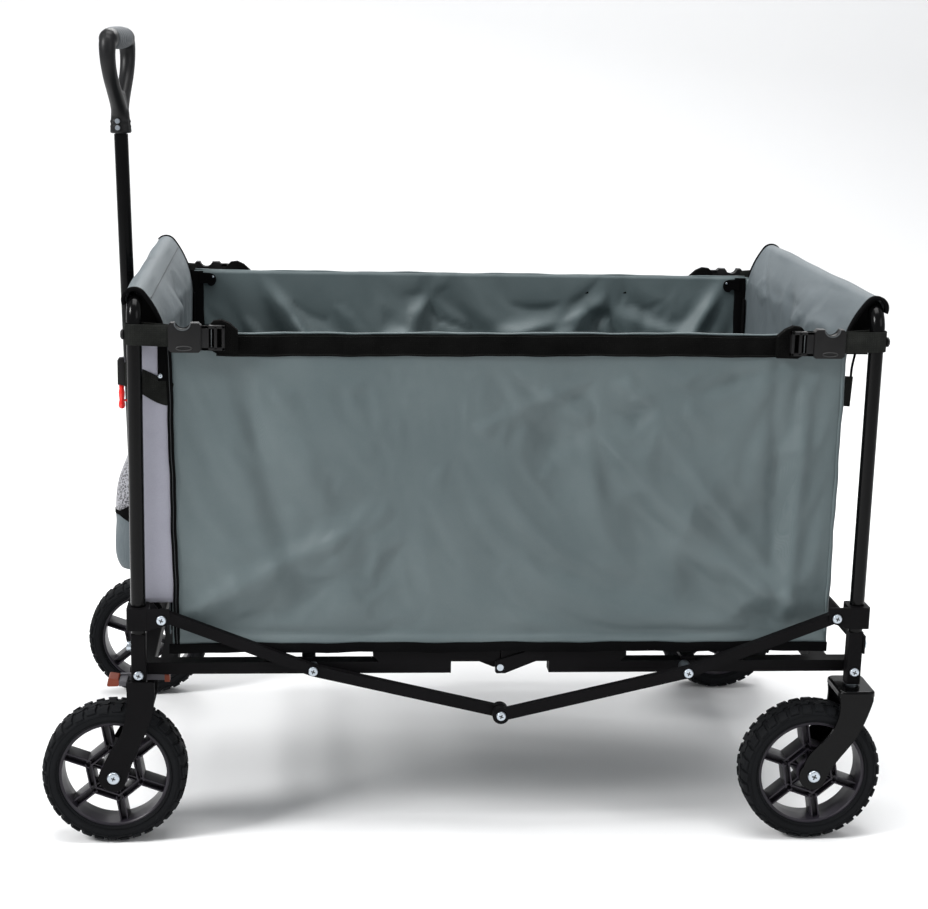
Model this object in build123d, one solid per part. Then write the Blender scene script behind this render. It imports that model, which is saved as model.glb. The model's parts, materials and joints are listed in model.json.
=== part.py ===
from build123d import *
import math
import os

# Folding utility wagon: X runs along the length with the pull handle at -X,
# the near long side is at -Y, Z is up and the ground is Z = 0.
# Parts are drawn with X = 0 midway between the hoops. save() moves them by
# ORIGIN, so the files have their origin on the ground midway between the axles.

# overall layout
POST_X = 420.0          # posts and hoops from the middle, along the length
POST_Y = 262.0          # posts and hoops from the middle, across
WHEEL_R = 84.0
WHEEL_W = 46.0
TRAIL = 46.0            # rear axles from the posts
FRONT_TRAIL = 30.0      # front axles from the posts
ORIGIN = (TRAIL + FRONT_TRAIL) / 2
HOOP_TOP = 648.0
TUBE_R = 8.5
POST_HALF = 8.5
HOOP_BEND = 24.0
PIVOT_Z = 207.0         # rail pins, in line with the centre hinge
RAIL_Y = 236.0
RAIL_W = 14.0
RAIL_STEP = 24.0        # raised inner ends of the rails
POST_BOTTOM = 192.0
POST_TOP = 256.0

# long bent links and sliding brackets
PIN_X = 393.0
PIN_Z = 275.5
SCISSOR_X = 220.0
SCISSOR_Z = 208.0
LOW_PIN_Z = 156.0
LINK_W = 13.0
LINK_T = 10.0
FRONT_LINK_Y = 256.0
REAR_LINK_Y = 268.6

# wheels
FRONT_WHEEL_Y = 248.0
RIM_R = 63.5
RIM_IN = 60.5
HEX_R = 32.0
SPOKES = 6
SPOKE_PHASE = 100.0
HUB_R = 17.0
AXLE_R = 5.0
BRAKE_Z = 194.0

# pull handle
HANDLE_X = -440.0
HANDLE_Z = 215.0
HANDLE_LEAN = 1.47
TUBE_LEN = 590.0
OUTER_R = 8.5
BORE_R = 7.3
INNER_R = 7.2
GRIP_TURN = -10.0
GRIP_HALF = 44.0

# basket
BASKET_X = 385.0
SIDE_Y = 244.6
SIDE_TOP = 600.0
SIDE_BOTTOM = 240.0
END_Y = 221.0
CLOTH = 2.0
KEEPER_Y = -237.0

os.makedirs("parts", exist_ok=True)


def save(name, *solids):
    moved = [Pos(ORIGIN, 0, 0) * solid for solid in solids]
    shape = moved[0] if len(moved) == 1 else Compound(children=moved)
    export_step(shape, f"parts/{name}.step")


def block(x0, x1, y0, y1, z0, z1):
    centre = ((x0 + x1) / 2, (y0 + y1) / 2, (z0 + z1) / 2)
    return Pos(*centre) * Box(x1 - x0, y1 - y0, z1 - z0)


def rod(start, end, radius):
    start = Vector(*start)
    end = Vector(*end)
    plane = Plane(origin=start, z_dir=end - start)
    return extrude(plane * Circle(radius), (end - start).length)


def pin_y(x, z, y0, y1, radius):
    return rod((x, y0, z), (x, y1, z), radius)


def bar_xz(x0, z0, x1, z1, width, y0, y1):
    """A round-ended flat bar between two points of the XZ plane."""
    length = math.hypot(x1 - x0, z1 - z0)
    angle = math.degrees(math.atan2(z1 - z0, x1 - x0))
    body = Pos(length / 2, 0, 0) * Box(length, y1 - y0, width)
    ends = [Pos(d, 0, 0) * Rot(90, 0, 0) * Cylinder(width / 2, y1 - y0) for d in (0, length)]
    bar = body + ends[0] + ends[1]
    return Pos(x0, (y0 + y1) / 2, z0) * Rot(0, -angle, 0) * bar


def plate_xz(points, y0, y1, corner=0.0):
    wire = Polyline(*[(x, z) for x, z in points], close=True)
    face = make_face(wire)
    if corner:
        face = fillet(face.vertices(), corner)
    # the XZ plane's normal is -Y, so the extrusion starts at the larger y
    return Pos(0, max(y0, y1), 0) * extrude(Plane.XZ * face, abs(y1 - y0))


def both(solid):
    return [solid, mirror(solid, Plane.XZ)]


def screw_head(x, z, y_face, radius=5.6, height=3.0):
    """A domed screw head standing on a near-side face (outward is -Y)."""
    head = Rot(90, 0, 0) * Cylinder(radius, height)
    head = fillet(head.faces().sort_by(Axis.Y)[0].edges(), height * 0.6)
    return Pos(x, y_face - height / 2, z) * head


# ---------------------------------------------------------------- end frames
def hoop(sign):
    y = POST_Y
    top = HOOP_TOP - TUBE_R
    path = FilletPolyline(
        (sign * POST_X, -y, POST_TOP),
        (sign * POST_X, -y, top),
        (sign * POST_X, y, top),
        (sign * POST_X, y, POST_TOP),
        radius=HOOP_BEND,
    )
    start = Plane(origin=(sign * POST_X, -y, POST_TOP), z_dir=(0, 0, 1))
    return sweep(start * Circle(TUBE_R), path=path)


def posts(sign):
    x = sign * POST_X
    body = block(x - POST_HALF, x + POST_HALF, -POST_Y - POST_HALF, -POST_Y + POST_HALF,
                 POST_BOTTOM, POST_TOP)
    body = fillet(body.edges().filter_by(Axis.Z), 2.0)
    body -= pin_y(x, PIVOT_Z, -POST_Y - 20, -POST_Y + 20, 4.0)
    return both(body)


def post_pins(sign):
    x = sign * POST_X
    shaft = pin_y(x, PIVOT_Z, -POST_Y - POST_HALF - 0.2, -RAIL_Y + 11.5, 4.0)
    head = screw_head(x, PIVOT_Z, -POST_Y - POST_HALF)
    return both(shaft + head)


def post_bolts(sign):
    x = sign * (POST_X + POST_HALF)
    head = rod((x, -POST_Y, 240), (x + sign * 5, -POST_Y, 240), 5.5)
    return both(head)


def cross_strip():
    x = POST_X + POST_HALF
    strip = block(x, x + 2.5, -POST_Y - 9, POST_Y + 9, 230, 252)
    for y in (-POST_Y, POST_Y):
        strip -= rod((x - 2, y, 240), (x + 9, y, 240), 5.6)
    return strip


def brackets(sign):
    """Sleeve round the hoop leg with an ear over the end of the long link."""
    x = sign * POST_X
    y = -POST_Y
    sleeve = block(x - 12.5, x + 12.5, y - 14.5, y + 14.5, PIN_Z - 13, PIN_Z + 13)
    sleeve = fillet(sleeve.edges().filter_by(Axis.Z), 2.5)
    sleeve -= Pos(x, y, PIN_Z) * Cylinder(TUBE_R + 0.1, 40)
    tip = sign * (PIN_X - 9)
    ear = plate_xz(
        [
            (sign * (POST_X - 11), PIN_Z + 13),
            (tip, PIN_Z + 13),
            (tip, PIN_Z - 5),
            (sign * (POST_X - 11), PIN_Z - 13),
        ],
        y - 14.5,
        y - 12.3,
    )
    hole = pin_y(sign * PIN_X, PIN_Z, y - 20, y - 5, 4.0)
    return both(sleeve + ear - hole)


def bracket_screws(sign):
    y = -POST_Y - 14.5
    shaft = pin_y(sign * PIN_X, PIN_Z, y - 0.2, y + 2.2, 4.0)
    return both(shaft + screw_head(sign * PIN_X, PIN_Z, y))


# ------------------------------------------------------------ rails and links
def rails(sign):
    """Two side rails, their raised inner ends, and the cross tube near the posts."""
    half = RAIL_W / 2
    low = block(58, POST_X, -RAIL_Y - 10, -RAIL_Y + 10, PIVOT_Z - half, PIVOT_Z + half)
    low += pin_y(POST_X, PIVOT_Z, -RAIL_Y - 10, -RAIL_Y + 10, half)
    high = block(0.6, 150, -RAIL_Y - 10, -RAIL_Y + 10, PIVOT_Z + half, PIVOT_Z + half + RAIL_STEP)
    high = chamfer(high.edges().filter_by(Axis.Y).sort_by(Axis.X)[-2:], 7.0)
    rail = low + high
    rail -= pin_y(POST_X, PIVOT_Z, -RAIL_Y - 20, -RAIL_Y + 20, 4.06)
    rail -= pin_y(SCISSOR_X, SCISSOR_Z, -RAIL_Y - 20, -RAIL_Y + 20, 4.0)
    other = mirror(rail, Plane.XZ)
    cross = block(378, 398, -RAIL_Y + 10, RAIL_Y - 10, PIVOT_Z - half, PIVOT_Z + half)
    frame = rail + other + cross
    return frame if sign > 0 else mirror(frame, Plane.YZ)


def floor_bars(sign):
    """Cross bars and crossed diagonals that carry the floor, on top of the rails."""
    z = PIVOT_Z + RAIL_W / 2
    solids = []
    for x in (110, 225):
        lift = RAIL_STEP if x < 150 else 0
        solids.append(block(x - 8, x + 8, -RAIL_Y - 8, RAIL_Y + 8, z + lift, z + lift + 5))
    for y in (-1, 1):
        reach = 190.0
        turn = math.degrees(math.atan2(2 * reach, 84))
        flat = Box(math.hypot(2 * reach, 84), 14, 3)
        solids.append(Pos(168, 0, z + (6.6 if y > 0 else 10.4)) * Rot(0, 0, y * turn) * flat)
    return solids if sign > 0 else [mirror(s, Plane.YZ) for s in solids]


def hinge_plates():
    """Plates on the raised rail ends: outer faces at the rear half, inner faces at the front."""
    plates = []
    for sign in (1, -1):
        y0 = -RAIL_Y - 12.6 if sign > 0 else -RAIL_Y + 10
        y1 = y0 + 2.6
        points = [
            (sign * 52, PIVOT_Z + 12),
            (sign * 52, PIVOT_Z + 27),
            (-6 * sign, PIVOT_Z + 8),
            (-6 * sign, PIVOT_Z - 7),
            (6 * sign, PIVOT_Z - 7),
        ]
        plates.append(plate_xz(points, y0, y1, 3.0) - pin_y(0, PIVOT_Z, y0 - 5, y1 + 5, 4.06))
    return plates


def hinge_pins():
    y = -RAIL_Y
    shaft = pin_y(0, PIVOT_Z, y - 12.8, y + 13.6, 4.0)
    return both(shaft)


def links(sign, y_mid):
    y0 = -y_mid - LINK_T / 2
    y1 = -y_mid + LINK_T / 2
    upper = bar_xz(SCISSOR_X, SCISSOR_Z, PIN_X, PIN_Z, LINK_W, y0, y1)
    lower = bar_xz(0, LOW_PIN_Z, SCISSOR_X, SCISSOR_Z, LINK_W, y0, y1)
    lobe = pin_y(0, LOW_PIN_Z, y0, y1, 10.0)
    link = upper + lower + lobe
    link -= pin_y(SCISSOR_X, SCISSOR_Z, y0 - 5, y1 + 5, 4.06)
    link = link if sign > 0 else mirror(link, Plane.YZ)
    return both(link)


def scissor_pins(sign, y_mid):
    x = sign * SCISSOR_X
    face = -y_mid - LINK_T / 2 - 0.3
    shaft = pin_y(x, SCISSOR_Z, face - 0.2, -RAIL_Y + 10, 4.0)
    spacer = pin_y(x, SCISSOR_Z, -y_mid + LINK_T / 2 + 0.3, -RAIL_Y - 10, 7.0)
    return both(shaft + screw_head(x, SCISSOR_Z, face) + spacer)


def low_screws():
    """The bottom centre screw heads, on the outer link's lobe."""
    return both(screw_head(0, LOW_PIN_Z, -REAR_LINK_Y - LINK_T / 2, 5.5, 3.0))


# --------------------------------------------------------------------- wheels
def tyre(x, y):
    half = WHEEL_W / 2
    profile = Polyline(
        (RIM_R, -half + 5), (RIM_R + 3, -half + 1), (WHEEL_R - 9, -half), (WHEEL_R - 2.5, -half + 5),
        (WHEEL_R, -half + 13), (WHEEL_R, half - 13), (WHEEL_R - 2.5, half - 5),
        (WHEEL_R - 9, half), (RIM_R + 3, half - 1), (RIM_R, half - 5), close=True,
    )
    ring = revolve(make_face(profile), Axis.Y)
    return Pos(x, y, WHEEL_R) * ring


def rim(x, y):
    barrel = Cylinder(RIM_R, 38) - Cylinder(RIM_IN, 50)
    hub = Cylinder(HUB_R, 36)
    web = barrel + hub
    side = 360 / SPOKES
    flat = HEX_R * math.cos(math.radians(side / 2))
    chord = 2 * HEX_R * math.sin(math.radians(side / 2))
    for i in range(SPOKES):
        angle = SPOKE_PHASE + side * i
        web += Rot(0, 0, angle + side / 2) * Pos(flat, 0, 0) * Box(6, chord + 4, 26)
        reach = (HEX_R + RIM_IN + 1) / 2
        web += Rot(0, 0, angle) * Pos(reach, 0, 0) * Box(RIM_IN + 1 - HEX_R, 7.5, 26)
        rib = Pos((HEX_R + HUB_R) / 2, 0, 0) * Box(HEX_R - HUB_R + 3, 4, 22)
        web += Rot(0, 0, angle) * rib
    web -= Cylinder(AXLE_R + 0.06, 60)
    return Pos(x, y, WHEEL_R) * Rot(90, 0, 0) * web


def axle(x, y0, y1):
    """Bolt with a domed head on the near plate and a nut on the far one."""
    low = min(y0, y1)
    high = max(y0, y1)
    bolt = pin_y(x, WHEEL_R, low - 0.2, high + 0.2, AXLE_R)
    head = screw_head(x, WHEEL_R, low, 7.5, 4.0)
    nut = pin_y(x, WHEEL_R, high, high + 5, 7.0)
    return bolt + head + nut


def fork_plate(x_post, y0, y1, top, trail, lead, rear):
    """A swept plate from below the post to the axle, given its two edges' inner points."""
    ax = x_post - trail
    lead_edge = [(x_post + lead[0], top - 6)]
    lead_edge += [(x_post + dx, z) for dx, z in lead[1:]]
    lead_edge.append((ax + 12.2, WHEEL_R - 12.2))
    rear_edge = [(ax - 12.2, WHEEL_R + 12.2)]
    rear_edge += [(x_post + dx, z) for dx, z in rear[1:]]
    rear_edge.append((x_post + rear[0], top - 6))
    nose = ThreePointArc((ax + 12.2, WHEEL_R - 12.2), (ax - 12.2, WHEEL_R - 12.2),
                         (ax - 12.2, WHEEL_R + 12.2))
    top_a = Line((x_post + rear[0], top - 6), (x_post + rear[0], top))
    top_b = Line((x_post + rear[0], top), (x_post + lead[0], top))
    top_c = Line((x_post + lead[0], top), (x_post + lead[0], top - 6))
    edges = [Spline(*lead_edge), nose, Spline(*rear_edge), top_a, top_b, top_c]
    face = make_face(Curve() + edges)
    plate = Pos(0, max(y0, y1), 0) * extrude(Plane.XZ * face, abs(y1 - y0))
    return plate - pin_y(ax, WHEEL_R, min(y0, y1) - 5, max(y0, y1) + 5, AXLE_R)


def fixed_plate(y0, y1):
    lead = [18, (12, 150), (2, 125), (-8, 102)]
    rear = [-14, (-32, 118), (-21, 138), (-15, 160)]
    return fork_plate(-POST_X, y0, y1, 200, FRONT_TRAIL, lead, rear)


def swivel_plate(y0, y1):
    lead = [20, (13, 155), (2, 131), (-16, 106)]
    rear = [-20, (-46, 118), (-33, 131), (-24, 146)]
    return fork_plate(POST_X, y0, y1, 184, TRAIL, lead, rear)


def front_fork():
    """Near plate flush with the post, far plate inboard, and a bridge over the tyre."""
    near = fixed_plate(-POST_Y - 14, -POST_Y - 11)
    far = fixed_plate(-FRONT_WHEEL_Y + 25, -FRONT_WHEEL_Y + 28)
    bridge = block(-POST_X - 13.5, -POST_X + 14, -POST_Y - 11.5, -FRONT_WHEEL_Y + 25.5, 180, 185)
    seat = block(-POST_X - POST_HALF, -POST_X + POST_HALF, -POST_Y - 11.5, -POST_Y + 11,
                 185, POST_BOTTOM)
    brake_pin = pin_y(-POST_X, BRAKE_Z, -FRONT_WHEEL_Y + 11.5, -FRONT_WHEEL_Y + 25, 2.5)
    return both(near + far + bridge + seat + brake_pin)


def swivel_yoke(y_sign):
    """Glossy pressed crown with rolled edges and two ribbed side plates."""
    crown = Pos(POST_X, -POST_Y, 186.5) * Box(44, 62, 7)
    crown = fillet(crown.edges().filter_by(Axis.Z), 8.0)
    crown = fillet(crown.faces().sort_by(Axis.Z)[-1].edges(), 3.0)
    near = swivel_plate(-POST_Y - 28.5, -POST_Y - 25.5)
    far = swivel_plate(-POST_Y + 25.5, -POST_Y + 28.5)
    yoke = crown + near + far
    yoke -= Pos(POST_X, -POST_Y, 186.5) * Cylinder(6.06, 30)
    return yoke if y_sign < 0 else mirror(yoke, Plane.XZ)


def kingpins():
    pin = rod((POST_X, -POST_Y, 181), (POST_X, -POST_Y, POST_BOTTOM), 6.0)
    nut = rod((POST_X, -POST_Y, 179.6), (POST_X, -POST_Y, 182.6), 9.0)
    collar = rod((POST_X, -POST_Y, 190.3), (POST_X, -POST_Y, POST_BOTTOM), 8.4)
    return both(pin + nut + collar)


def brake_lever(y_sign):
    """Rocker across the fork, over the tyre, on a pin in the inner plate."""
    x = -POST_X
    y = -FRONT_WHEEL_Y
    arm = block(x - 24, x - 15, y - 8, y + 12, 189, 195)
    side = plate_xz([(x - 24, 189.5), (x - 24, 197), (x, 197.2), (x + 26, 195.8), (x + 26, 189.4)],
                    y + 12, y + 16.5)
    tail = block(x + 18, x + 27, y + 12, y + 22, 189.4, 195.6)
    body = arm + side + tail
    body -= pin_y(x, BRAKE_Z, y - 20, y + 40, 2.56)
    return body if y_sign < 0 else mirror(body, Plane.XZ)


def brake_pad(y_sign):
    x = -POST_X
    y = -FRONT_WHEEL_Y
    outer = plate_xz([(x - 38, 188.5), (x - 36, 199), (x - 24, 197), (x - 24, 189)],
                     y - 8, y + 14, 2.0)
    tip = block(x + 27, x + 33, y + 12, y + 22, 187, 195.6)
    pair = [outer, tip]
    if y_sign > 0:
        pair = [mirror(s, Plane.XZ) for s in pair]
    return pair


# ---------------------------------------------------------------- pull handle
def lean(solid):
    """Turn a solid built upright over the handle pivot to the handle's angle."""
    pivot = Pos(HANDLE_X, 0, HANDLE_Z)
    return pivot * Rot(0, -HANDLE_LEAN, 0) * solid


def front_cross_tube():
    y = FRONT_WHEEL_Y - 28
    tube = block(-POST_X - 10, -POST_X + 10, -y, y, 172, 190)
    return fillet(tube.edges().filter_by(Axis.Y), 2.5)


def handle_clevis():
    base = block(HANDLE_X - 14, -POST_X + 8, -15, 15, 190, 193)
    plates = []
    for s in (-1, 1):
        y0 = 12 * s
        y1 = 15 * s
        points = [(-454, 190), (-454, 219), (-448, 226), (-432, 226), (-414, 200), (-412, 190)]
        plates.append(plate_xz(points, min(y0, y1), max(y0, y1)))
    clevis = base + plates[0] + plates[1]
    return clevis - pin_y(HANDLE_X, HANDLE_Z, -30, 30, 4.0)


def handle_pin():
    shaft = pin_y(HANDLE_X, HANDLE_Z, -15, 15, 4.0)
    head = screw_head(HANDLE_X, HANDLE_Z, -15, 6.5, 3.5)
    nut = pin_y(HANDLE_X, HANDLE_Z, 15, 19, 6.5)
    return shaft + head + nut


def handle_outer():
    foot = Rot(90, 0, 0) * Cylinder(10.5, 23)
    tube = Pos(0, 0, TUBE_LEN / 2) * Cylinder(OUTER_R, TUBE_LEN)
    body = tube + foot
    body -= Pos(0, 0, (TUBE_LEN + 20) / 2 + 10) * Cylinder(BORE_R, TUBE_LEN - 20)
    body -= Rot(90, 0, 0) * Cylinder(4.06, 60)
    return lean(body)


def handle_inner():
    length = TUBE_LEN - 40
    tube = Pos(0, 0, 30 + (length + 23) / 2) * Cylinder(INNER_R, length + 23)
    tube -= Pos(0, 0, 30 + (length + 23) / 2) * Cylinder(INNER_R - 1.5, length + 30)
    return lean(tube)


def capsule_chain(points, radii):
    body = None
    for i in range(len(points) - 1):
        a = Vector(*points[i])
        b = Vector(*points[i + 1])
        plane = Plane(origin=a, z_dir=b - a)
        cone = plane * Pos(0, 0, (b - a).length / 2)
        if radii[i] == radii[i + 1]:
            cone = cone * Cylinder(radii[i], (b - a).length)
        else:
            cone = cone * Cone(radii[i], radii[i + 1], (b - a).length)
        piece = cone + Pos(*points[i]) * Sphere(radii[i])
        piece += Pos(*points[i + 1]) * Sphere(radii[i + 1])
        body = piece if body is None else body + piece
    return body


def grip_frame(solid):
    return lean(Pos(0, 0, TUBE_LEN + 1) * Rot(0, 0, GRIP_TURN) * solid)


def handle_grip():
    collar = Pos(0, 0, 11) * Cylinder(13, 22)
    collar -= Pos(0, 0, 6.2) * Cylinder(INNER_R, 12.4)
    body = collar
    for s in (-1, 1):
        points = [(0, 0, 21), (0, 12 * s, 38), (0, 36 * s, 66), (0, 45 * s, 88), (0, 40 * s, 106)]
        body += capsule_chain(points, [10.6, 10.2, 9.8, 9.5, 9.5])
    bridge = rod((0, -GRIP_HALF + 6, 113), (0, -29, 113), 10.0)
    body += bridge + mirror(bridge, Plane.XZ)
    for s in (-1, 1):
        body += Pos(0, 38 * s, 111) * Sphere(10.8)
    return grip_frame(body)


def grip_cover():
    cover = Rot(90, 0, 0) * Cylinder(12.0, 58)
    return grip_frame(Pos(0, 0, 113) * cover)


def collar_bolts():
    bolts = []
    for z in (7, 15):
        for s in (-1, 1):
            bolts.append(grip_frame(rod((0, 13 * s, z), (0, 15 * s, z), 3.0)))
    return bolts


# --------------------------------------------------------------------- basket
def end_panel(sign):
    """Sleeve over the hoop's top bar, sloping cloth below it, and the upright end."""
    z = HOOP_TOP - TUBE_R
    outer = Pos(-POST_X, 0, z) * Rot(90, 0, 0) * Cylinder(TUBE_R + 3.2, 400)
    sleeve = outer - Pos(-POST_X, 0, z) * Rot(90, 0, 0) * Cylinder(TUBE_R + 0.3, 402)
    points = [
        (-POST_X + TUBE_R + 1.0, z), (-POST_X + TUBE_R + 3.1, z), (-BASKET_X + 1.4, SIDE_TOP),
        (-BASKET_X + 1.4, 264), (-BASKET_X - 1.4, 264), (-BASKET_X - 1.4, SIDE_TOP - 1),
    ]
    sheet = plate_xz(points, -END_Y, END_Y)
    panel = sleeve + sheet
    return panel if sign < 0 else mirror(panel, Plane.YZ)


def side_panel(y_sign):
    panel = block(-BASKET_X + 2.5, BASKET_X - 2.5, -SIDE_Y - CLOTH, -SIDE_Y, SIDE_BOTTOM, SIDE_TOP)
    return panel if y_sign < 0 else mirror(panel, Plane.XZ)


def floor():
    return block(-BASKET_X + 2.5, BASKET_X - 2.5, -END_Y, END_Y, 244, 248)


def drink_pockets():
    pockets = []
    for s in (-1, 1):
        y0 = min(60 * s, 205 * s)
        y1 = max(60 * s, 205 * s)
        shell = block(-POST_X - 32, -BASKET_X - 1.8, y0, y1, 328, 440)
        shell = fillet(shell.edges().filter_by(Axis.Z).sort_by(Axis.X)[:2], 26)
        inner = block(-POST_X - 30, -BASKET_X - 3.8, y0 + 2, y1 - 2, 331, 450)
        inner = fillet(inner.edges().filter_by(Axis.Z).sort_by(Axis.X)[:2], 24)
        pockets.append(shell - inner)
    return pockets


def top_webbing(y_sign):
    y = -SIDE_Y - CLOTH
    strap = block(-318, 318, y - 2.2, y - 0.3, 581, 606)
    return strap if y_sign < 0 else mirror(strap, Plane.XZ)


def strap_loops(sign):
    """Webbing round the hoop leg, brought in to the buckle."""
    x = sign * POST_X
    y = -POST_Y
    ring = Cylinder(TUBE_R + 2.2, 21.5) - Cylinder(TUBE_R + 0.2, 30)
    ring = Pos(x, y, 603.25) * ring
    tail_in = sign * (POST_X - 46)
    tail = block(min(x - sign * 4, tail_in), max(x - sign * 4, tail_in),
                 y - TUBE_R - 2.2, y - TUBE_R - 0.3, 592.5, 614)
    return both(ring + tail)


def buckle_bodies(sign):
    """Side-release socket half, over the near end of the strap."""
    x0 = POST_X - 74
    body = block(x0, x0 + 36, -POST_Y - 7, -POST_Y + 4, 583, 617)
    body = fillet(body.edges().filter_by(Axis.X), 3.0)
    notch = Pos(x0 + 19, -POST_Y - 2, 622.5) * Rot(90, 0, 0) * Cylinder(9.5, 30)
    body -= notch
    body = body if sign > 0 else mirror(body, Plane.YZ)
    return both(body)


def buckle_plugs(sign):
    """Ladder half of the buckle, which the strap is threaded through."""
    x0 = POST_X - 100
    body = block(x0, x0 + 25.6, -POST_Y - 6, -POST_Y + 3, 586, 614)
    for dx in (4.5, 13.5):
        body -= block(x0 + dx, x0 + dx + 5, -POST_Y - 20, -POST_Y + 20, 590, 610)
    body = body if sign > 0 else mirror(body, Plane.YZ)
    return both(body)


def keeper():
    """Plastic keeper on a short strap sewn to the outside of the end panel."""
    strap = block(-POST_X - 14, -BASKET_X - 1.7, KEEPER_Y, KEEPER_Y + 2, 541, 565)
    sewn = block(-BASKET_X - 3.7, -BASKET_X - 1.7, KEEPER_Y, -END_Y + 8, 541, 565)
    holder = block(-POST_X - 21, -POST_X - 13, KEEPER_Y - 4, KEEPER_Y + 6, 541, 572)
    return strap + sewn + holder


def red_clip():
    x = -POST_X - 17
    y = KEEPER_Y + 1
    body = rod((x, y, 515), (x, y, 540.7), 3.0)
    body += Pos(x, y, 517) * Sphere(4.0)
    stud = rod((x, y, 523), (x + 6.5, y, 523), 1.6)
    return body + stud


save("rear_hoop", hoop(1))
save("rear_posts", *posts(1), cross_strip())
save("rear_post_bolts", *post_pins(1), *post_bolts(1))
save("rear_brackets", *brackets(1))
save("rear_bracket_screws", *bracket_screws(1))
save("rear_rails", rails(1))
save("rear_floor_bars", *floor_bars(1))
save("rear_links", *links(1, REAR_LINK_Y))
save("rear_scissor_pins", *scissor_pins(1, REAR_LINK_Y))
save("low_screws", *low_screws())
save("front_hoop", hoop(-1))
save("front_posts", *posts(-1))
save("front_post_bolts", *post_pins(-1), *post_bolts(-1))
save("front_brackets", *brackets(-1))
save("front_bracket_screws", *bracket_screws(-1))
save("front_rails", rails(-1))
save("front_floor_bars", *floor_bars(-1))
save("front_links", *links(-1, FRONT_LINK_Y))
save("front_scissor_pins", *scissor_pins(-1, FRONT_LINK_Y))
save("front_cross_tube", front_cross_tube())
save("front_forks", *front_fork())

rear_plate, front_plate = hinge_plates()
save("rear_hinge_plates", *both(rear_plate))
save("front_hinge_plates", *both(front_plate))
save("hinge_pins", *hinge_pins())

for name, y in (("near", -1), ("far", 1)):
    save(f"{name}_swivel_yoke", swivel_yoke(y))
    save(f"rear_{name}_tyre", tyre(POST_X - TRAIL, y * POST_Y))
    save(f"rear_{name}_rim", rim(POST_X - TRAIL, y * POST_Y))
    save(f"rear_{name}_axle", axle(POST_X - TRAIL, y * (POST_Y + 28.5), y * (POST_Y - 28.5)))
    save(f"front_{name}_tyre", tyre(-POST_X - FRONT_TRAIL, y * FRONT_WHEEL_Y))
    save(f"front_{name}_rim", rim(-POST_X - FRONT_TRAIL, y * FRONT_WHEEL_Y))
    save(f"{name}_brake_lever", brake_lever(y))
    save(f"{name}_brake_pads", *brake_pad(y))
front_axle = axle(-POST_X - FRONT_TRAIL, -POST_Y - 14, -FRONT_WHEEL_Y + 28)
save("front_axles", *both(front_axle))
save("kingpins", *kingpins())

save("handle_clevis", handle_clevis(), handle_pin())
save("handle_outer_tube", handle_outer())
save("handle_inner_tube", handle_inner())
save("handle_grip", handle_grip())
save("handle_grip_cover", grip_cover() - handle_grip())
save("handle_collar_bolts", *collar_bolts())

save("front_end_panel", end_panel(-1))
save("rear_end_panel", end_panel(1))
save("side_panels", side_panel(-1), side_panel(1))
save("floor_cloth", floor())
save("drink_pockets", *drink_pockets())
save("top_webbing", top_webbing(-1), top_webbing(1))
save("front_strap_loops", *strap_loops(-1))
save("rear_strap_loops", *strap_loops(1))
save("front_buckles", *buckle_bodies(-1), *buckle_plugs(-1))
save("rear_buckles", *buckle_bodies(1), *buckle_plugs(1))
save("clip_keeper", keeper())
save("red_clip", red_clip())
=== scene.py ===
"""Looks for the folding wagon: cloth basket, webbing, buckles, tyres, rims, grip and materials."""
import json
import math
import random

import bmesh
import bpy
from mathutils import noise as field
from mathutils import Matrix, Vector


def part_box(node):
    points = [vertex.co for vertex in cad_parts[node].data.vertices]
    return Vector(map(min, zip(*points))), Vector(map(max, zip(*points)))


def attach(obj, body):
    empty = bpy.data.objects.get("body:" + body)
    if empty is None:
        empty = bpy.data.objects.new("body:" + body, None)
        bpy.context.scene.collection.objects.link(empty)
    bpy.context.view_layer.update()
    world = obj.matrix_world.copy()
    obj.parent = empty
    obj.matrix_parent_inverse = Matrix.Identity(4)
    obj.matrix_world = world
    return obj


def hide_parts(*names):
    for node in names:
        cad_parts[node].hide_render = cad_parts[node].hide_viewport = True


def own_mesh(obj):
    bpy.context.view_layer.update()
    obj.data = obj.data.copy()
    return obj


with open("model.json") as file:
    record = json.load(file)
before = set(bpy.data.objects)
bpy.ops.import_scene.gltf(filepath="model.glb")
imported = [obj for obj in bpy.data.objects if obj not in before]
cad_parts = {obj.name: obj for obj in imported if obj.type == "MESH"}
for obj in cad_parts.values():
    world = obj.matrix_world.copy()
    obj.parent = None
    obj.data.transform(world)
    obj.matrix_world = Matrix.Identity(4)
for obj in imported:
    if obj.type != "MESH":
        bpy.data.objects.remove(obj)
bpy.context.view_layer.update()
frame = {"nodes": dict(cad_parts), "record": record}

# ------------------------------------------------------------------ sizes
HOOP_FRONT = [Vector(c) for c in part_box("front_hoop")]
HOOP_REAR = [Vector(c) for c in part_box("rear_hoop")]
MID_X = (HOOP_FRONT[0].x + HOOP_REAR[1].x) / 2
TUBE_R = (HOOP_REAR[1].x - HOOP_REAR[0].x) / 2
POST_X = HOOP_REAR[1].x - TUBE_R - MID_X
POST_Y = HOOP_REAR[1].y - TUBE_R
HOOP_Z = HOOP_REAR[1].z - TUBE_R
SIDE_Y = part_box("side_panels")[1][1]
SIDE_TOP = 0.607
SIDE_BOTTOM = 0.2335
BASKET_X = 0.385
FLOOR_Z = 0.249
STRAP_Z = 0.5935
STRAP_W = 0.025
CAMERA_AT = (-0.2342, -2.3531, 0.9548)


def at(x, y, z):
    """A point given from the middle between the hoops."""
    return Vector((x + MID_X, y, z))


# ---------------------------------------------------------------- materials
def shader(name):
    mat = bpy.data.materials.new(name)
    mat.use_nodes = True
    nodes = mat.node_tree.nodes
    return mat, nodes, mat.node_tree.links, nodes["Principled BSDF"]


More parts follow.
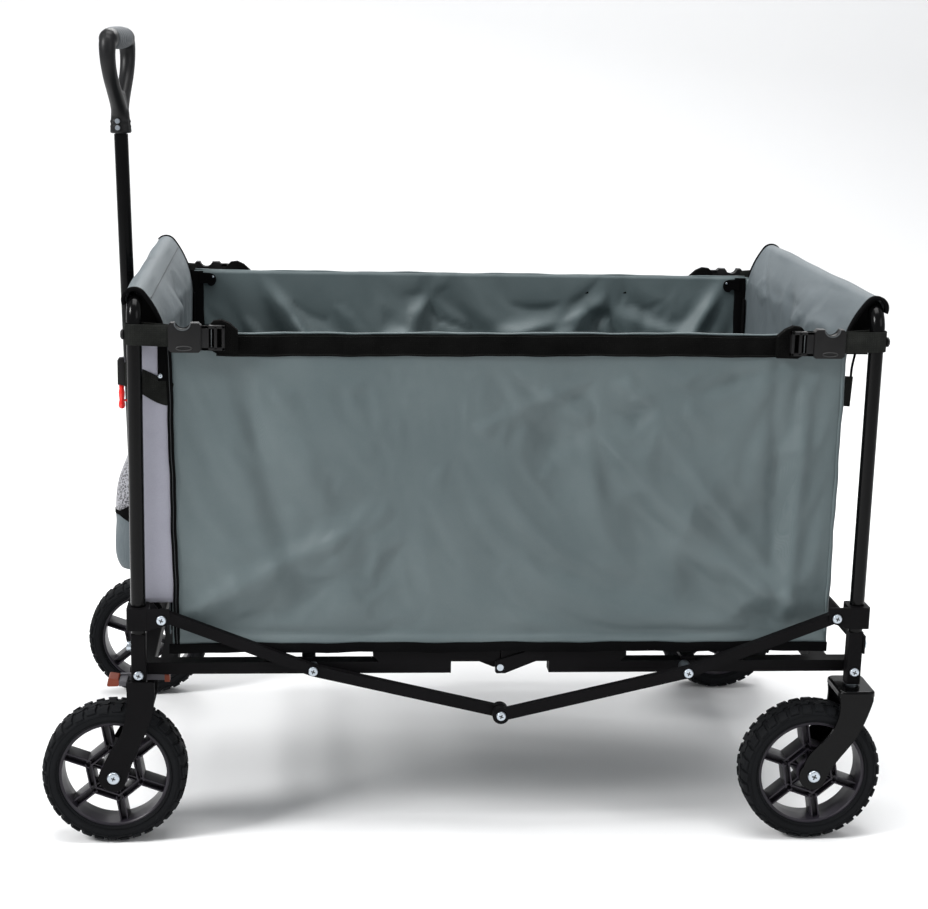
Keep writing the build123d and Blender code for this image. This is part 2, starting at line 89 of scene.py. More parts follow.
def coords(nodes, links, scale=(1, 1, 1)):
    tex = nodes.new("ShaderNodeTexCoord")
    mapping = nodes.new("ShaderNodeMapping")
    mapping.inputs["Scale"].default_value = scale
    links.new(tex.outputs["Object"], mapping.inputs["Vector"])
    return mapping.outputs["Vector"]


def noise(nodes, links, vector, scale, detail=3.0, rough=0.5):
    n = nodes.new("ShaderNodeTexNoise")
    n.inputs["Scale"].default_value = scale
    n.inputs["Detail"].default_value = detail
    n.inputs["Roughness"].default_value = rough
    links.new(vector, n.inputs["Vector"])
    return n.outputs["Fac"]


def wave(nodes, links, vector, scale, direction="X", profile="SIN"):
    w = nodes.new("ShaderNodeTexWave")
    w.wave_type = "BANDS"
    w.bands_direction = direction
    w.wave_profile = profile
    w.inputs["Scale"].default_value = scale
    links.new(vector, w.inputs["Vector"])
    return w.outputs["Fac"]


def ramp(nodes, links, factor, stops):
    r = nodes.new("ShaderNodeValToRGB")
    r.color_ramp.elements[0].position = stops[0][0]
    r.color_ramp.elements[0].color = (*stops[0][1], 1)
    r.color_ramp.elements[1].position = stops[-1][0]
    r.color_ramp.elements[1].color = (*stops[-1][1], 1)
    for place, colour in stops[1:-1]:
        r.color_ramp.elements.new(place).color = (*colour, 1)
    links.new(factor, r.inputs["Fac"])
    return r.outputs["Color"]


def remap(nodes, links, value, low, high):
    m = nodes.new("ShaderNodeMapRange")
    m.inputs["To Min"].default_value = low
    m.inputs["To Max"].default_value = high
    links.new(value, m.inputs["Value"])
    return m.outputs["Result"]


def maths(nodes, links, kind, a, b):
    m = nodes.new("ShaderNodeMath")
    m.operation = kind
    for socket, value in zip(m.inputs, (a, b)):
        if isinstance(value, (int, float)):
            socket.default_value = value
        else:
            links.new(value, socket)
    return m.outputs["Value"]


def bump(nodes, links, bsdf, height, strength, distance):
    b = nodes.new("ShaderNodeBump")
    b.inputs["Strength"].default_value = strength
    b.inputs["Distance"].default_value = distance
    links.new(height, b.inputs["Height"])
    links.new(b.outputs["Normal"], bsdf.inputs["Normal"])


def sheen(bsdf, amount, tint=(1, 1, 1)):
    bsdf.inputs["Sheen Weight"].default_value = amount
    bsdf.inputs["Sheen Roughness"].default_value = 0.45
    bsdf.inputs["Sheen Tint"].default_value = (*tint, 1)


def woven(name, dark, light, pitch, depth, rough=(0.72, 0.9), gloss=0.15, patch=6.0, spec=0.25):
    """Woven cloth: threads both ways, soft mottling and a little sheen."""
    mat, nodes, links, bsdf = shader(name)
    vector = coords(nodes, links)
    split = nodes.new("ShaderNodeSeparateXYZ")
    join = nodes.new("ShaderNodeCombineXYZ")
    links.new(vector, split.inputs["Vector"])
    along = maths(nodes, links, "ADD", split.outputs["X"], split.outputs["Y"])
    links.new(along, join.inputs["X"])
    links.new(split.outputs["Z"], join.inputs["Z"])
    per_metre = 2 * math.pi / (20 * pitch)
    weft = wave(nodes, links, join.outputs["Vector"], per_metre, "X")
    warp = wave(nodes, links, join.outputs["Vector"], per_metre, "Z")
    threads = maths(nodes, links, "MULTIPLY", weft, warp)
    grain = noise(nodes, links, vector, 700, 4, 0.65)
    mottle = noise(nodes, links, vector, patch, 5, 0.6)
    mix = maths(nodes, links, "ADD", maths(nodes, links, "MULTIPLY", mottle, 0.62),
                maths(nodes, links, "MULTIPLY", grain, 0.22))
    mix = maths(nodes, links, "ADD", mix, maths(nodes, links, "MULTIPLY", threads, 0.16))
    colour = ramp(nodes, links, mix, [(0.25, dark), (0.78, light)])
    links.new(colour, bsdf.inputs["Base Color"])
    links.new(remap(nodes, links, grain, *rough), bsdf.inputs["Roughness"])
    height = maths(nodes, links, "ADD", threads, maths(nodes, links, "MULTIPLY", grain, 0.5))
    bump(nodes, links, bsdf, height, 0.55, depth)
    sheen(bsdf, gloss)
    bsdf.inputs["Specular IOR Level"].default_value = spec
    return mat


def coated(name, base, rough, grain_scale, depth, coat=0.0, metallic=0.0, strength=0.3, spec=0.2):
    """Paint, plastic or metal with fine grain and slightly uneven gloss."""
    mat, nodes, links, bsdf = shader(name)
    vector = coords(nodes, links)
    fine = noise(nodes, links, vector, grain_scale, 3, 0.6)
    broad = noise(nodes, links, vector, 18, 4, 0.55)
    low = tuple(c * 0.82 for c in base)
    high = tuple(min(c * 1.22, 1) for c in base)
    links.new(ramp(nodes, links, broad, [(0.3, low), (0.7, high)]), bsdf.inputs["Base Color"])
    links.new(remap(nodes, links, broad, *rough), bsdf.inputs["Roughness"])
    bump(nodes, links, bsdf, fine, strength, depth)
    bsdf.inputs["Metallic"].default_value = metallic
    bsdf.inputs["Coat Weight"].default_value = coat
    bsdf.inputs["Coat Roughness"].default_value = 0.12
    bsdf.inputs["Specular IOR Level"].default_value = spec
    return mat


def mesh_cloth(name):
    """Open knitted mesh: pale thread with dark holes."""
    mat, nodes, links, bsdf = shader(name)
    vector = coords(nodes, links)
    cells = nodes.new("ShaderNodeTexVoronoi")
    cells.inputs["Scale"].default_value = 430
    links.new(vector, cells.inputs["Vector"])
    colour = ramp(nodes, links, cells.outputs["Distance"],
                  [(0.34, (0.02, 0.02, 0.024)), (0.62, (0.24, 0.24, 0.26))])
    links.new(colour, bsdf.inputs["Base Color"])
    bsdf.inputs["Roughness"].default_value = 0.6
    bump(nodes, links, bsdf, cells.outputs["Distance"], 0.6, 0.0006)
    sheen(bsdf, 0.3)
    return mat


GREY_CLOTH = woven("grey_cloth", (0.050, 0.073, 0.078), (0.104, 0.132, 0.136), 0.0009, 0.0002,
                   (0.46, 0.6), 0.05, spec=0.5)
END_CLOTH = woven("end_cloth", (0.27, 0.27, 0.32), (0.42, 0.42, 0.48), 0.0009, 0.0002)
ROLL_CLOTH = woven("roll_cloth", (0.050, 0.066, 0.074), (0.100, 0.120, 0.130), 0.0009, 0.0002,
                   (0.52, 0.66), 0.04, spec=0.35)
BINDING = woven("black_binding", (0.001, 0.001, 0.001), (0.005, 0.005, 0.0055), 0.0012, 0.0003,
                (0.85, 0.97), 0.0, spec=0.03)
WEBBING = woven("black_webbing", (0.001, 0.001, 0.001), (0.006, 0.006, 0.0058), 0.0021, 0.0006,
                (0.85, 0.97), 0.0, 30.0, spec=0.03)
LOOP_WEB = woven("loop_webbing", (0.004, 0.0045, 0.004), (0.020, 0.021, 0.019), 0.0021, 0.0007,
                 (0.8, 0.92), 0.0, 60.0, spec=0.08)
# Grey used for real stitching, and also for painted highlight lines on the black buckles.
THREAD_AND_GLINT = coated("grey_thread_and_painted_glint", (0.055, 0.06, 0.063), (0.6, 0.8), 900, 0.0002)
GLOSS = coated("gloss_black_paint", (0.0012, 0.0012, 0.0013), (0.14, 0.22), 420, 0.00005, 0.04,
               spec=0.1)
SATIN = coated("satin_black_paint", (0.0036, 0.0034, 0.0038), (0.5, 0.64), 1300, 0.0001, spec=0.05)
ZINC = coated("zinc_plate", (0.40, 0.44, 0.48), (0.24, 0.38), 500, 0.00005, metallic=1.0)
TYRE = coated("tyre_rubber", (0.0046, 0.0050, 0.0058), (0.62, 0.8), 800, 0.0002, spec=0.09)
RIM = coated("rim_plastic", (0.019, 0.0165, 0.022), (0.34, 0.46), 700, 0.00008, spec=0.25)
PLASTIC = coated("black_plastic", (0.0062, 0.0060, 0.0062), (0.38, 0.5), 900, 0.0001, spec=0.18)
GRIP = coated("grip_plastic", (0.0055, 0.0056, 0.0062), (0.34, 0.48), 1000, 0.0001, spec=0.2)
GRIP_PAD = coated("grip_rubber", (0.105, 0.112, 0.118), (0.55, 0.7), 900, 0.0002)
RED = coated("red_plastic", (0.62, 0.012, 0.008), (0.2, 0.3), 500, 0.00005, 0.3, spec=0.4)
# Brown-red pedal: the red plastic darkened with painted shade.
PEDAL_RED_SHADED = coated("pedal_red_painted_shade", (0.16, 0.032, 0.014), (0.4, 0.55), 700, 0.0001)
PEDAL_GREY = coated("pedal_grey", (0.075, 0.072, 0.08), (0.4, 0.55), 700, 0.0001)
# Dark grey for screw recesses and buckle slots: painted shade in place of real hollows.
RECESS_SHADE = coated("recess_painted_shade", (0.05, 0.05, 0.05), (0.5, 0.7), 700, 0.0001, metallic=0.6)
MESH = mesh_cloth("pocket_mesh")

CAD_MATERIALS = {
    "gloss_black_steel": GLOSS, "matte_black_steel": SATIN, "zinc_steel": ZINC,
    "tyre_rubber": TYRE, "rim_plastic": RIM, "grey_cloth": GREY_CLOTH,
    "black_webbing": WEBBING, "black_plastic": PLASTIC, "grey_rubber": GRIP_PAD,
    "red_plastic": RED, "red_pedal": PEDAL_RED_SHADED, "pedal_grey": PEDAL_GREY,
}
for part in frame["record"]["subparts"]:
    node = frame["nodes"][part["node"]]
    for place in node.material_slots:
        place.material = CAD_MATERIALS[part["material_slot"]]


# ------------------------------------------------------------- mesh helpers
def link(name, mesh, mat, body=None, smooth=True):
    """Makes the object, gives it its material and slot, and rides it on its body."""
    obj = bpy.data.objects.new(name, mesh)
    bpy.context.scene.collection.objects.link(obj)
    mesh.materials.append(mat)
    for face in mesh.polygons:
        face.use_smooth = smooth
    if body:
        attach(obj, body)
    return obj


def from_bmesh(name, bm, mat, body=None, smooth=True):
    bmesh.ops.recalc_face_normals(bm, faces=bm.faces)
    mesh = bpy.data.meshes.new(name)
    bm.to_mesh(mesh)
    bm.free()
    return link(name, mesh, mat, body, smooth)


def sharpen(obj, angle=35):
    """Keeps creases of a smooth-shaded mesh crisp."""
    bpy.context.view_layer.objects.active = obj
    for other in bpy.context.selected_objects:
        other.select_set(False)
    obj.select_set(True)
    bpy.ops.object.shade_smooth_by_angle(angle=math.radians(angle))
    obj.select_set(False)


def add_box(bm, low, high, bevel=0.0, turn=None):
    low = Vector(low)
    high = Vector(high)
    made = bmesh.ops.create_cube(bm, size=1.0)["verts"]
    size = high - low
    mid = (high + low) / 2
    for v in made:
        v.co = Vector((v.co.x * size.x, v.co.y * size.y, v.co.z * size.z)) + mid
    if bevel:
        edges = list({e for v in made for e in v.link_edges})
        made = bmesh.ops.bevel(bm, geom=edges, offset=bevel, segments=2, profile=0.7,
                               affect="EDGES")["verts"]
        made = list(set(made))
    if turn is not None:
        done = set()
        stack = list(made)
        while stack:
            v = stack.pop()
            if v in done:
                continue
            done.add(v)
            stack += [e.other_vert(v) for e in v.link_edges]
        for v in done:
            v.co = turn @ v.co
    return made


def sweep_profile(bm, path, sides, profile, closed=False, cap=True):
    """Sweeps a closed 2-D profile: its first axis lies along sides, its second across."""
    rings = []
    count = len(path)
    for i, point in enumerate(path):
        if closed:
            ahead = path[(i + 1) % count] - path[i - 1]
        else:
            ahead = path[min(i + 1, count - 1)] - path[max(i - 1, 0)]
        ahead = ahead.normalized()
        side = sides[i] if isinstance(sides, list) else sides
        side = (side - ahead * side.dot(ahead)).normalized()
        across = ahead.cross(side)
        rings.append([bm.verts.new(point + side * a + across * b) for a, b in profile])
    n = len(profile)
    last = count if closed else count - 1
    for i in range(last):
        a = rings[i]
        b = rings[(i + 1) % count]
        for k in range(n):
            bm.faces.new((a[k], a[(k + 1) % n], b[(k + 1) % n], b[k]))
    if cap and not closed:
        bm.faces.new(rings[0][::-1])
        bm.faces.new(rings[-1])
    return rings


def flat_profile(width, thick):
    """Cross-section of a strap: flat faces with rounded edges."""
    w = width / 2
    t = thick / 2
    r = min(t, w) * 0.9
    points = []
    for cx, cy, start in ((w - r, t - r, 0), (-w + r, t - r, 90), (-w + r, -t + r, 180),
                          (w - r, -t + r, 270)):
        for step in (0, 45, 90):
            a = math.radians(start + step)
            points.append((cx + r * math.cos(a), cy + r * math.sin(a)))
    return points


def circle_profile(radius, count=16):
    return [(radius * math.cos(2 * math.pi * i / count),
             radius * math.sin(2 * math.pi * i / count)) for i in range(count)]


def strap(name, path, sides, width, thick, mat, body, closed=False):
    bm = bmesh.new()
    sweep_profile(bm, path, sides, flat_profile(width, thick), closed)
    obj = from_bmesh(name, bm, mat, body)
    sharpen(obj, 50)
    return obj


def cord_mesh(name, path, radius, mat, body, closed=False, count=8):
    bm = bmesh.new()
    side = Vector((0.31, 0.17, 0.93))
    sweep_profile(bm, path, side, circle_profile(radius, count), closed)
    return from_bmesh(name, bm, mat, body)


def smooth_path(points, steps=8):
    """Catmull-Rom curve through the points."""
    points = [Vector(p) for p in points]
    out = []
    for i in range(len(points) - 1):
        p0 = points[max(i - 1, 0)]
        p1 = points[i]
        p2 = points[i + 1]
        p3 = points[min(i + 2, len(points) - 1)]
        for k in range(steps):
            t = k / steps
            out.append(0.5 * ((2 * p1) + (p2 - p0) * t + (2 * p0 - 5 * p1 + 4 * p2 - p3) * t * t
                              + (3 * p1 - p0 - 3 * p2 + p3) * t ** 3))
    out.append(points[-1])
    return out


def revolve(bm, profile, segments, centre, axis="Y", closed=True):
    """Turns a closed (radius, along) profile about an axis through centre."""
    rings = []
    for i in range(segments):
        a = 2 * math.pi * i / segments
        ring = []
        for r, along in profile:
            if axis == "Y":
                p = Vector((r * math.cos(a), along, r * math.sin(a)))
            elif axis == "X":
                p = Vector((along, r * math.cos(a), r * math.sin(a)))
            else:
                p = Vector((r * math.cos(a), r * math.sin(a), along))
            ring.append(bm.verts.new(centre + p))
        rings.append(ring)
    n = len(profile)
    spans = n if closed else n - 1
    for i in range(segments):
        a = rings[i]
        b = rings[(i + 1) % segments]
        for k in range(spans):
            bm.faces.new((a[k], a[(k + 1) % n], b[(k + 1) % n], b[k]))


def grid_mesh(name, shape, nu, nv, mat, body=None, thick=0.0):
    """A sheet given by shape(u, v) -> point, with a real thickness."""
    bm = bmesh.new()
    rows = [[bm.verts.new(shape(i / nu, j / nv)) for i in range(nu + 1)] for j in range(nv + 1)]
    for j in range(nv):
        for i in range(nu):
            bm.faces.new((rows[j][i], rows[j][i + 1], rows[j + 1][i + 1], rows[j + 1][i]))
    obj = from_bmesh(name, bm, mat, body)
    if thick:
        thicken(obj, thick)
    return obj


def bake_modifiers(obj):
    graph = bpy.context.evaluated_depsgraph_get()
    mesh = bpy.data.meshes.new_from_object(obj.evaluated_get(graph))
    obj.modifiers.clear()
    obj.data = mesh
    for face in mesh.polygons:
        face.use_smooth = True


def thicken(obj, thick):
    mod = obj.modifiers.new("thick", "SOLIDIFY")
    mod.thickness = thick
    mod.offset = 0
    bake_modifiers(obj)


def drape(obj, held, spare, frames=36, gravity=1.0, stiff=12.0, bend=0.4):
    """Cloth simulation: held(point) gives how firmly a point is pinned; spare is extra cloth."""
    scene = bpy.context.scene
    group = obj.vertex_groups.new(name="held")
    for v in obj.data.vertices:
        weight = held(obj.matrix_world @ v.co)
        if weight > 0:
            group.add([v.index], weight, "REPLACE")
    mod = obj.modifiers.new("cloth", "CLOTH")
    s = mod.settings
    s.quality = 5
    s.mass = 0.25
    s.tension_stiffness = stiff
    s.compression_stiffness = stiff
    s.shear_stiffness = stiff * 0.6
    s.bending_stiffness = bend
    s.tension_damping = 8
    s.compression_damping = 8
    s.shear_damping = 8
    s.air_damping = 3
    s.vertex_group_mass = "held"
    s.shrink_min = -spare
    s.effector_weights.gravity = gravity
    mod.collision_settings.use_collision = False
    mod.collision_settings.use_self_collision = False
    mod.point_cache.frame_start = 1
    mod.point_cache.frame_end = frames
    for f in range(1, frames + 1):
        scene.frame_set(f)
    bake_modifiers(obj)
    scene.frame_set(1)


# -------------------------------------------------------------------- tyres
LUGS = 34
TYRE_R = (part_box("rear_near_tyre")[1][2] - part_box("rear_near_tyre")[0][2]) / 2
RIM_R = (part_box("rear_near_rim")[1][2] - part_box("rear_near_rim")[0][2]) / 2


def lug(bm, centre, section, side, angle, span, skew):
    """One tread block, narrower on its crown and set at a slant."""
    rings = []
    for t in (-1, 1):
        ring = []
        for drop, y in section:
            r = TYRE_R - drop
            crown = 0.84 if drop < 0.0025 else 1.0
            a = angle + t * span * crown + skew * (y / 0.023)
            ring.append(bm.verts.new(centre + Vector((r * math.cos(a), side * y, r * math.sin(a)))))
        rings.append(ring)
    n = len(section)
    for k in range(n):
        bm.faces.new((rings[0][k], rings[0][(k + 1) % n], rings[1][(k + 1) % n], rings[1][k]))
    bm.faces.new(rings[0][::-1])
    bm.faces.new(rings[1])


def tyre(name, node, body):
    low, high = (Vector(c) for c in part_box(node))
    centre = (low + high) / 2
    half = (high.y - low.y) / 2
    bm = bmesh.new()
    wall = [(RIM_R + 0.0000, 0.0052), (RIM_R + 0.0012, 0.0024), (RIM_R + 0.0034, 0.0010),
            (RIM_R + 0.0075, 0.0003), (TYRE_R - 0.0085, 0.0006), (TYRE_R - 0.0062, 0.0018),
            (TYRE_R - 0.0040, 0.0052), (TYRE_R - 0.0026, 0.0110), (TYRE_R - 0.0020, 0.0200)]
    carcass = [(r, -half + d) for r, d in wall] + [(r, half - d) for r, d in reversed(wall)]
    revolve(bm, carcass, 120, centre)
    for sign in (-1, 1):
        for r in (RIM_R + 0.0030, TYRE_R - 0.0092):
            y = sign * (half - 0.0002)
            ring = [(r - 0.0005, y - sign * 0.0012), (r, y + sign * 0.0002),
                    (r + 0.0005, y - sign * 0.0012)]
            revolve(bm, ring, 120, centre)
    pitch = 2 * math.pi / LUGS
    shoulder = [(0.0072, half - 0.0008), (0.0048, half - 0.0002), (0.0022, half - 0.0032),
                (0.0006, half - 0.0080), (0.0002, half - 0.0120), (0.0045, half - 0.0130),
                (0.0062, half - 0.0055)]
    short = [(0.0052, half - 0.0016), (0.0034, half - 0.0014), (0.0016, half - 0.0042),
             (0.0004, half - 0.0090), (0.0002, half - 0.0150), (0.0045, half - 0.0160),
             (0.0055, half - 0.0060)]
    middle = [(0.0040, -0.0080), (0.0002, -0.0072), (0.0002, 0.0026), (0.0040, 0.0034)]
    for i in range(LUGS):
        for side in (-1, 1):
            a = pitch * (i + (0.5 if side > 0 else 0.0))
            lug(bm, centre, shoulder if i % 2 else short, side, a, pitch * 0.36, 0.05)
            lug(bm, centre, middle, side, a + pitch * 0.5, pitch * 0.34, -0.16)
    obj = from_bmesh(name, bm, TYRE, body)
    sharpen(obj, 30)
    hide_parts(node)
    return obj


# --------------------------------------------------------------------- rims
SPOKES = 6
SPOKE_PHASE = 100
HEX_R = 0.032
RIM_IN = RIM_R - 0.0030


def member(bm, centre, a, b, width, depth):
    """A ribbed bar between two points of the wheel plane: two lips and a sunk floor."""
    a = Vector((a[0], 0, a[1]))
    b = Vector((b[0], 0, b[1]))
    length = (b - a).length
    turn = Matrix.Translation(centre + (a + b) / 2)
    turn = turn @ Matrix.Rotation(-math.atan2(b.z - a.z, b.x - a.x), 4, "Y")
    lip = 0.0016
    for s in (-1, 1):
        z0 = s * (width / 2 - lip / 2) - lip / 2
        add_box(bm, (-length / 2, -depth / 2, z0), (length / 2, depth / 2, z0 + lip),
                0.0004, turn)
    add_box(bm, (-length / 2, -depth * 0.16, -width / 2 + 0.0006),
            (length / 2, depth * 0.16, width / 2 - 0.0006), 0.0, turn)


def rim(name, node, body):
    low, high = (Vector(c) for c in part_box(node))
    centre = (low + high) / 2
    bm = bmesh.new()
    lip = [(RIM_R + 0.0006, 0.0006), (RIM_R + 0.0018, 0.0000), (RIM_R + 0.0016, 0.0016),
           (RIM_R - 0.0002, 0.0030)]
    bore = [(RIM_R - 0.0016, 0.0002), (RIM_IN, 0.0014), (RIM_IN - 0.0012, 0.0170)]
    barrel = [(r, -0.0190 + d) for r, d in lip] + [(r, 0.0190 - d) for r, d in reversed(lip)]
    barrel += [(r, 0.0190 - d) for r, d in bore] + [(r, -0.0190 + d) for r, d in reversed(bore)]
    revolve(bm, barrel, 96, centre)
    hub = [(0.0052, -0.0180), (0.0110, -0.0180), (0.0112, -0.0150), (0.0145, -0.0150),
           (0.0150, -0.0180), (0.0168, -0.0180), (0.0170, 0.0), (0.0168, 0.0180),
           (0.0150, 0.0180), (0.0145, 0.0150), (0.0112, 0.0150), (0.0110, 0.0180),
           (0.0052, 0.0180)]
    revolve(bm, hub, 48, centre)
    corners = []
    for i in range(SPOKES):
        a = math.radians(SPOKE_PHASE + 360 / SPOKES * i)
        corners.append((HEX_R * math.cos(a), HEX_R * math.sin(a)))
    for i in range(SPOKES):
        a = math.radians(SPOKE_PHASE + 360 / SPOKES * i)
        member(bm, centre, corners[i], corners[(i + 1) % SPOKES], 0.0084, 0.027)
        start = (0.0300 * math.cos(a), 0.0300 * math.sin(a))
        stop = ((RIM_IN + 0.0004) * math.cos(a), (RIM_IN + 0.0004) * math.sin(a))
        member(bm, centre, start, stop, 0.0096, 0.026)
        start = (0.0155 * math.cos(a), 0.0155 * math.sin(a))
        stop = (0.0285 * math.cos(a), 0.0285 * math.sin(a))
        member(bm, centre, start, stop, 0.0052, 0.022)
    obj = from_bmesh(name, bm, RIM, body)
    sharpen(obj, 30)
    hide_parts(node)
    bearing = bmesh.new()
    revolve(bearing, [(0.0054, -0.0188), (0.0100, -0.0188), (0.0100, 0.0188), (0.0054, 0.0188)],
            32, centre)
    ring = from_bmesh(name + "_bearing", bearing, ZINC, body)
    sharpen(ring, 30)


for end in ("front", "rear"):
    for side in ("near", "far"):
        tyre(f"tyre_{end}_{side}", f"{end}_{side}_tyre", f"{end}_{side}_wheel")
        rim(f"rim_{end}_{side}", f"{end}_{side}_rim", f"{end}_{side}_wheel")


# ------------------------------------------------------------ basket panels
def soft(u, v, seed, folds):
    """Broad, shallow folds: each is (centre u, centre v, angle, length, width, depth)."""
    total = 0.0
    for cu, cv, angle, length, width, depth in folds:
        a = math.radians(angle)
        du = (u - cu) * 0.77
        dv = (v - cv) * 0.36
        along = du * math.cos(a) + dv * math.sin(a)
        across = -du * math.sin(a) + dv * math.cos(a)
        total += depth * math.exp(-(along / length) ** 2 - (across / width) ** 2)
    ripple = math.sin(u * 9.1 + seed) * math.sin(v * 4.3 + seed * 1.7) * 0.0012
    ripple += math.sin(u * 21.0 + v * 9.0 + seed) * 0.0006
    return total + ripple


def edge_fade(u, v, edge=0.06):
    fade = min(u, 1 - u) / edge
    fade = min(fade, min(v, 1 - v) / (edge * 2))
    return max(0.0, min(1.0, fade)) ** 0.7


NEAR_FOLDS = [
    (0.76, 0.44, -42, 0.26, 0.014, 0.0110), (0.72, 0.38, -42, 0.24, 0.030, -0.0070),
    (0.86, 0.36, -50, 0.14, 0.010, 0.0070), (0.88, 0.22, -24, 0.12, 0.012, 0.0060),
    (0.68, 0.83, -38, 0.07, 0.009, 0.0060), (0.72, 0.74, -20, 0.10, 0.014, -0.0050),
    (0.545, 0.79, 25, 0.09, 0.009, 0.0060), (0.55, 0.88, -20, 0.07, 0.008, 0.0045),
    (0.58, 0.68, 10, 0.12, 0.020, -0.0050), (0.14, 0.25, 27, 0.15, 0.013, 0.0085),
    (0.17, 0.16, 24, 0.14, 0.020, -0.0060), (0.14, 0.56, -75, 0.12, 0.016, -0.0065),
    (0.20, 0.60, -70, 0.14, 0.018, 0.0050), (0.33, 0.40, -55, 0.20, 0.030, 0.0050),
    (0.94, 0.50, 88, 0.18, 0.009, 0.0060), (0.905, 0.55, 92, 0.16, 0.010, -0.0055),
    (0.50, 0.07, 5, 0.05, 0.010, 0.0050), (0.60, 0.26, -14, 0.16, 0.016, -0.0045),
    (0.84, 0.86, 18, 0.12, 0.010, -0.0050), (0.30, 0.84, -18, 0.14, 0.014, 0.0040),
]
FAR_FOLDS = [
    (0.16, 0.72, -52, 0.10, 0.014, 0.013), (0.20, 0.76, -52, 0.10, 0.012, -0.016),
    (0.30, 0.70, -40, 0.12, 0.016, 0.011), (0.38, 0.80, 55, 0.10, 0.014, -0.013),
    (0.46, 0.66, -24, 0.12, 0.014, -0.012), (0.53, 0.74, -35, 0.14, 0.018, 0.011),
    (0.60, 0.80, 20, 0.10, 0.012, -0.012), (0.67, 0.78, 48, 0.12, 0.016, -0.013),
    (0.78, 0.70, -50, 0.12, 0.014, 0.012), (0.84, 0.80, -18, 0.10, 0.012, -0.011),
    (0.89, 0.76, 60, 0.10, 0.012, -0.012), (0.50, 0.35, 10, 0.30, 0.040, 0.006),
]


def crumple(x, z, seed, size):
    """Creased relief: flat facets meeting in soft lines."""
    a = abs(field.noise(Vector((x * 7.0 + seed, z * 9.0, seed))))
    b = abs(field.noise(Vector((x * 17.0, z * 15.0 + seed, 2 * seed))))
    c = field.noise(Vector((x * 42.0, z * 36.0, seed)))
    d = abs(field.noise(Vector((x * 31.0 + 2 * seed, z * 27.0, seed))))
    return size * (0.9 * (0.30 - a) + 0.42 * (0.28 - b) + 0.16 * (0.25 - d) + 0.04 * c)


def near_drop(sign, x):
    """The near side's top edge hangs a little lower towards the front."""
    if sign > 0:
        return 0.0
    return 0.0048 * max(0.0, min(1.0, (0.16 - x) / 0.5))


def side_panel(name, sign, folds, spare):
    def shape(u, v):
        x = -BASKET_X + 0.003 + u * (2 * BASKET_X + 0.001)
        z = SIDE_BOTTOM + v * (SIDE_TOP - SIDE_BOTTOM) - near_drop(sign, x) * v
        out = soft(u, v, 1.3 if sign < 0 else 4.1, folds)
        out = (1.35 * out + crumple(x, z, 3.7 if sign < 0 else 8.2, 0.0150)) * edge_fade(u, v)
        limit = 0.0008 + 0.10 * max(0.0, 0.90 - v)
        out = min(out, limit) * min(1.0, max(0.0, z - 0.238) / 0.03)
        skirt = 0.0032 * max(0.0, min(1.0, (0.254 - z) / 0.013))
        return at(x, sign * (SIDE_Y - 0.0005 + out + skirt), z)

    panel = grid_mesh(name, shape, 160, 78, GREY_CLOTH)

    def held(p):
        x = p.x - MID_X
        if p.z > SIDE_TOP - near_drop(sign, x) - 0.004 or p.z < SIDE_BOTTOM + 0.008:
            return 1.0
        if abs(x) > BASKET_X - 0.010:
            return 1.0
        return 0.0

    drape(panel, held, spare, 7, 0.15)
    thicken(panel, 0.0016)
    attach(panel, "rear_frame")
    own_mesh(panel)
    return panel


near_panel = side_panel("near_side_cloth", -1, NEAR_FOLDS, 0.0)
side_panel("far_side_cloth", 1, FAR_FOLDS, 0.0)
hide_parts("side_panels")


def line(a, b, count=24):
    return [a + (b - a) * (i / count) for i in range(count + 1)]


def squashed(obj):
    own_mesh(obj)
    return obj


def wobble(points, amount, seed, axis=Vector((0, 0, 1))):
    rng = random.Random(seed)
    phase = rng.random() * 6
    return [p + axis * amount * (math.sin(i * 0.55 + phase) + 0.6 * math.sin(i * 1.37 + phase))
            for i, p in enumerate(points)]


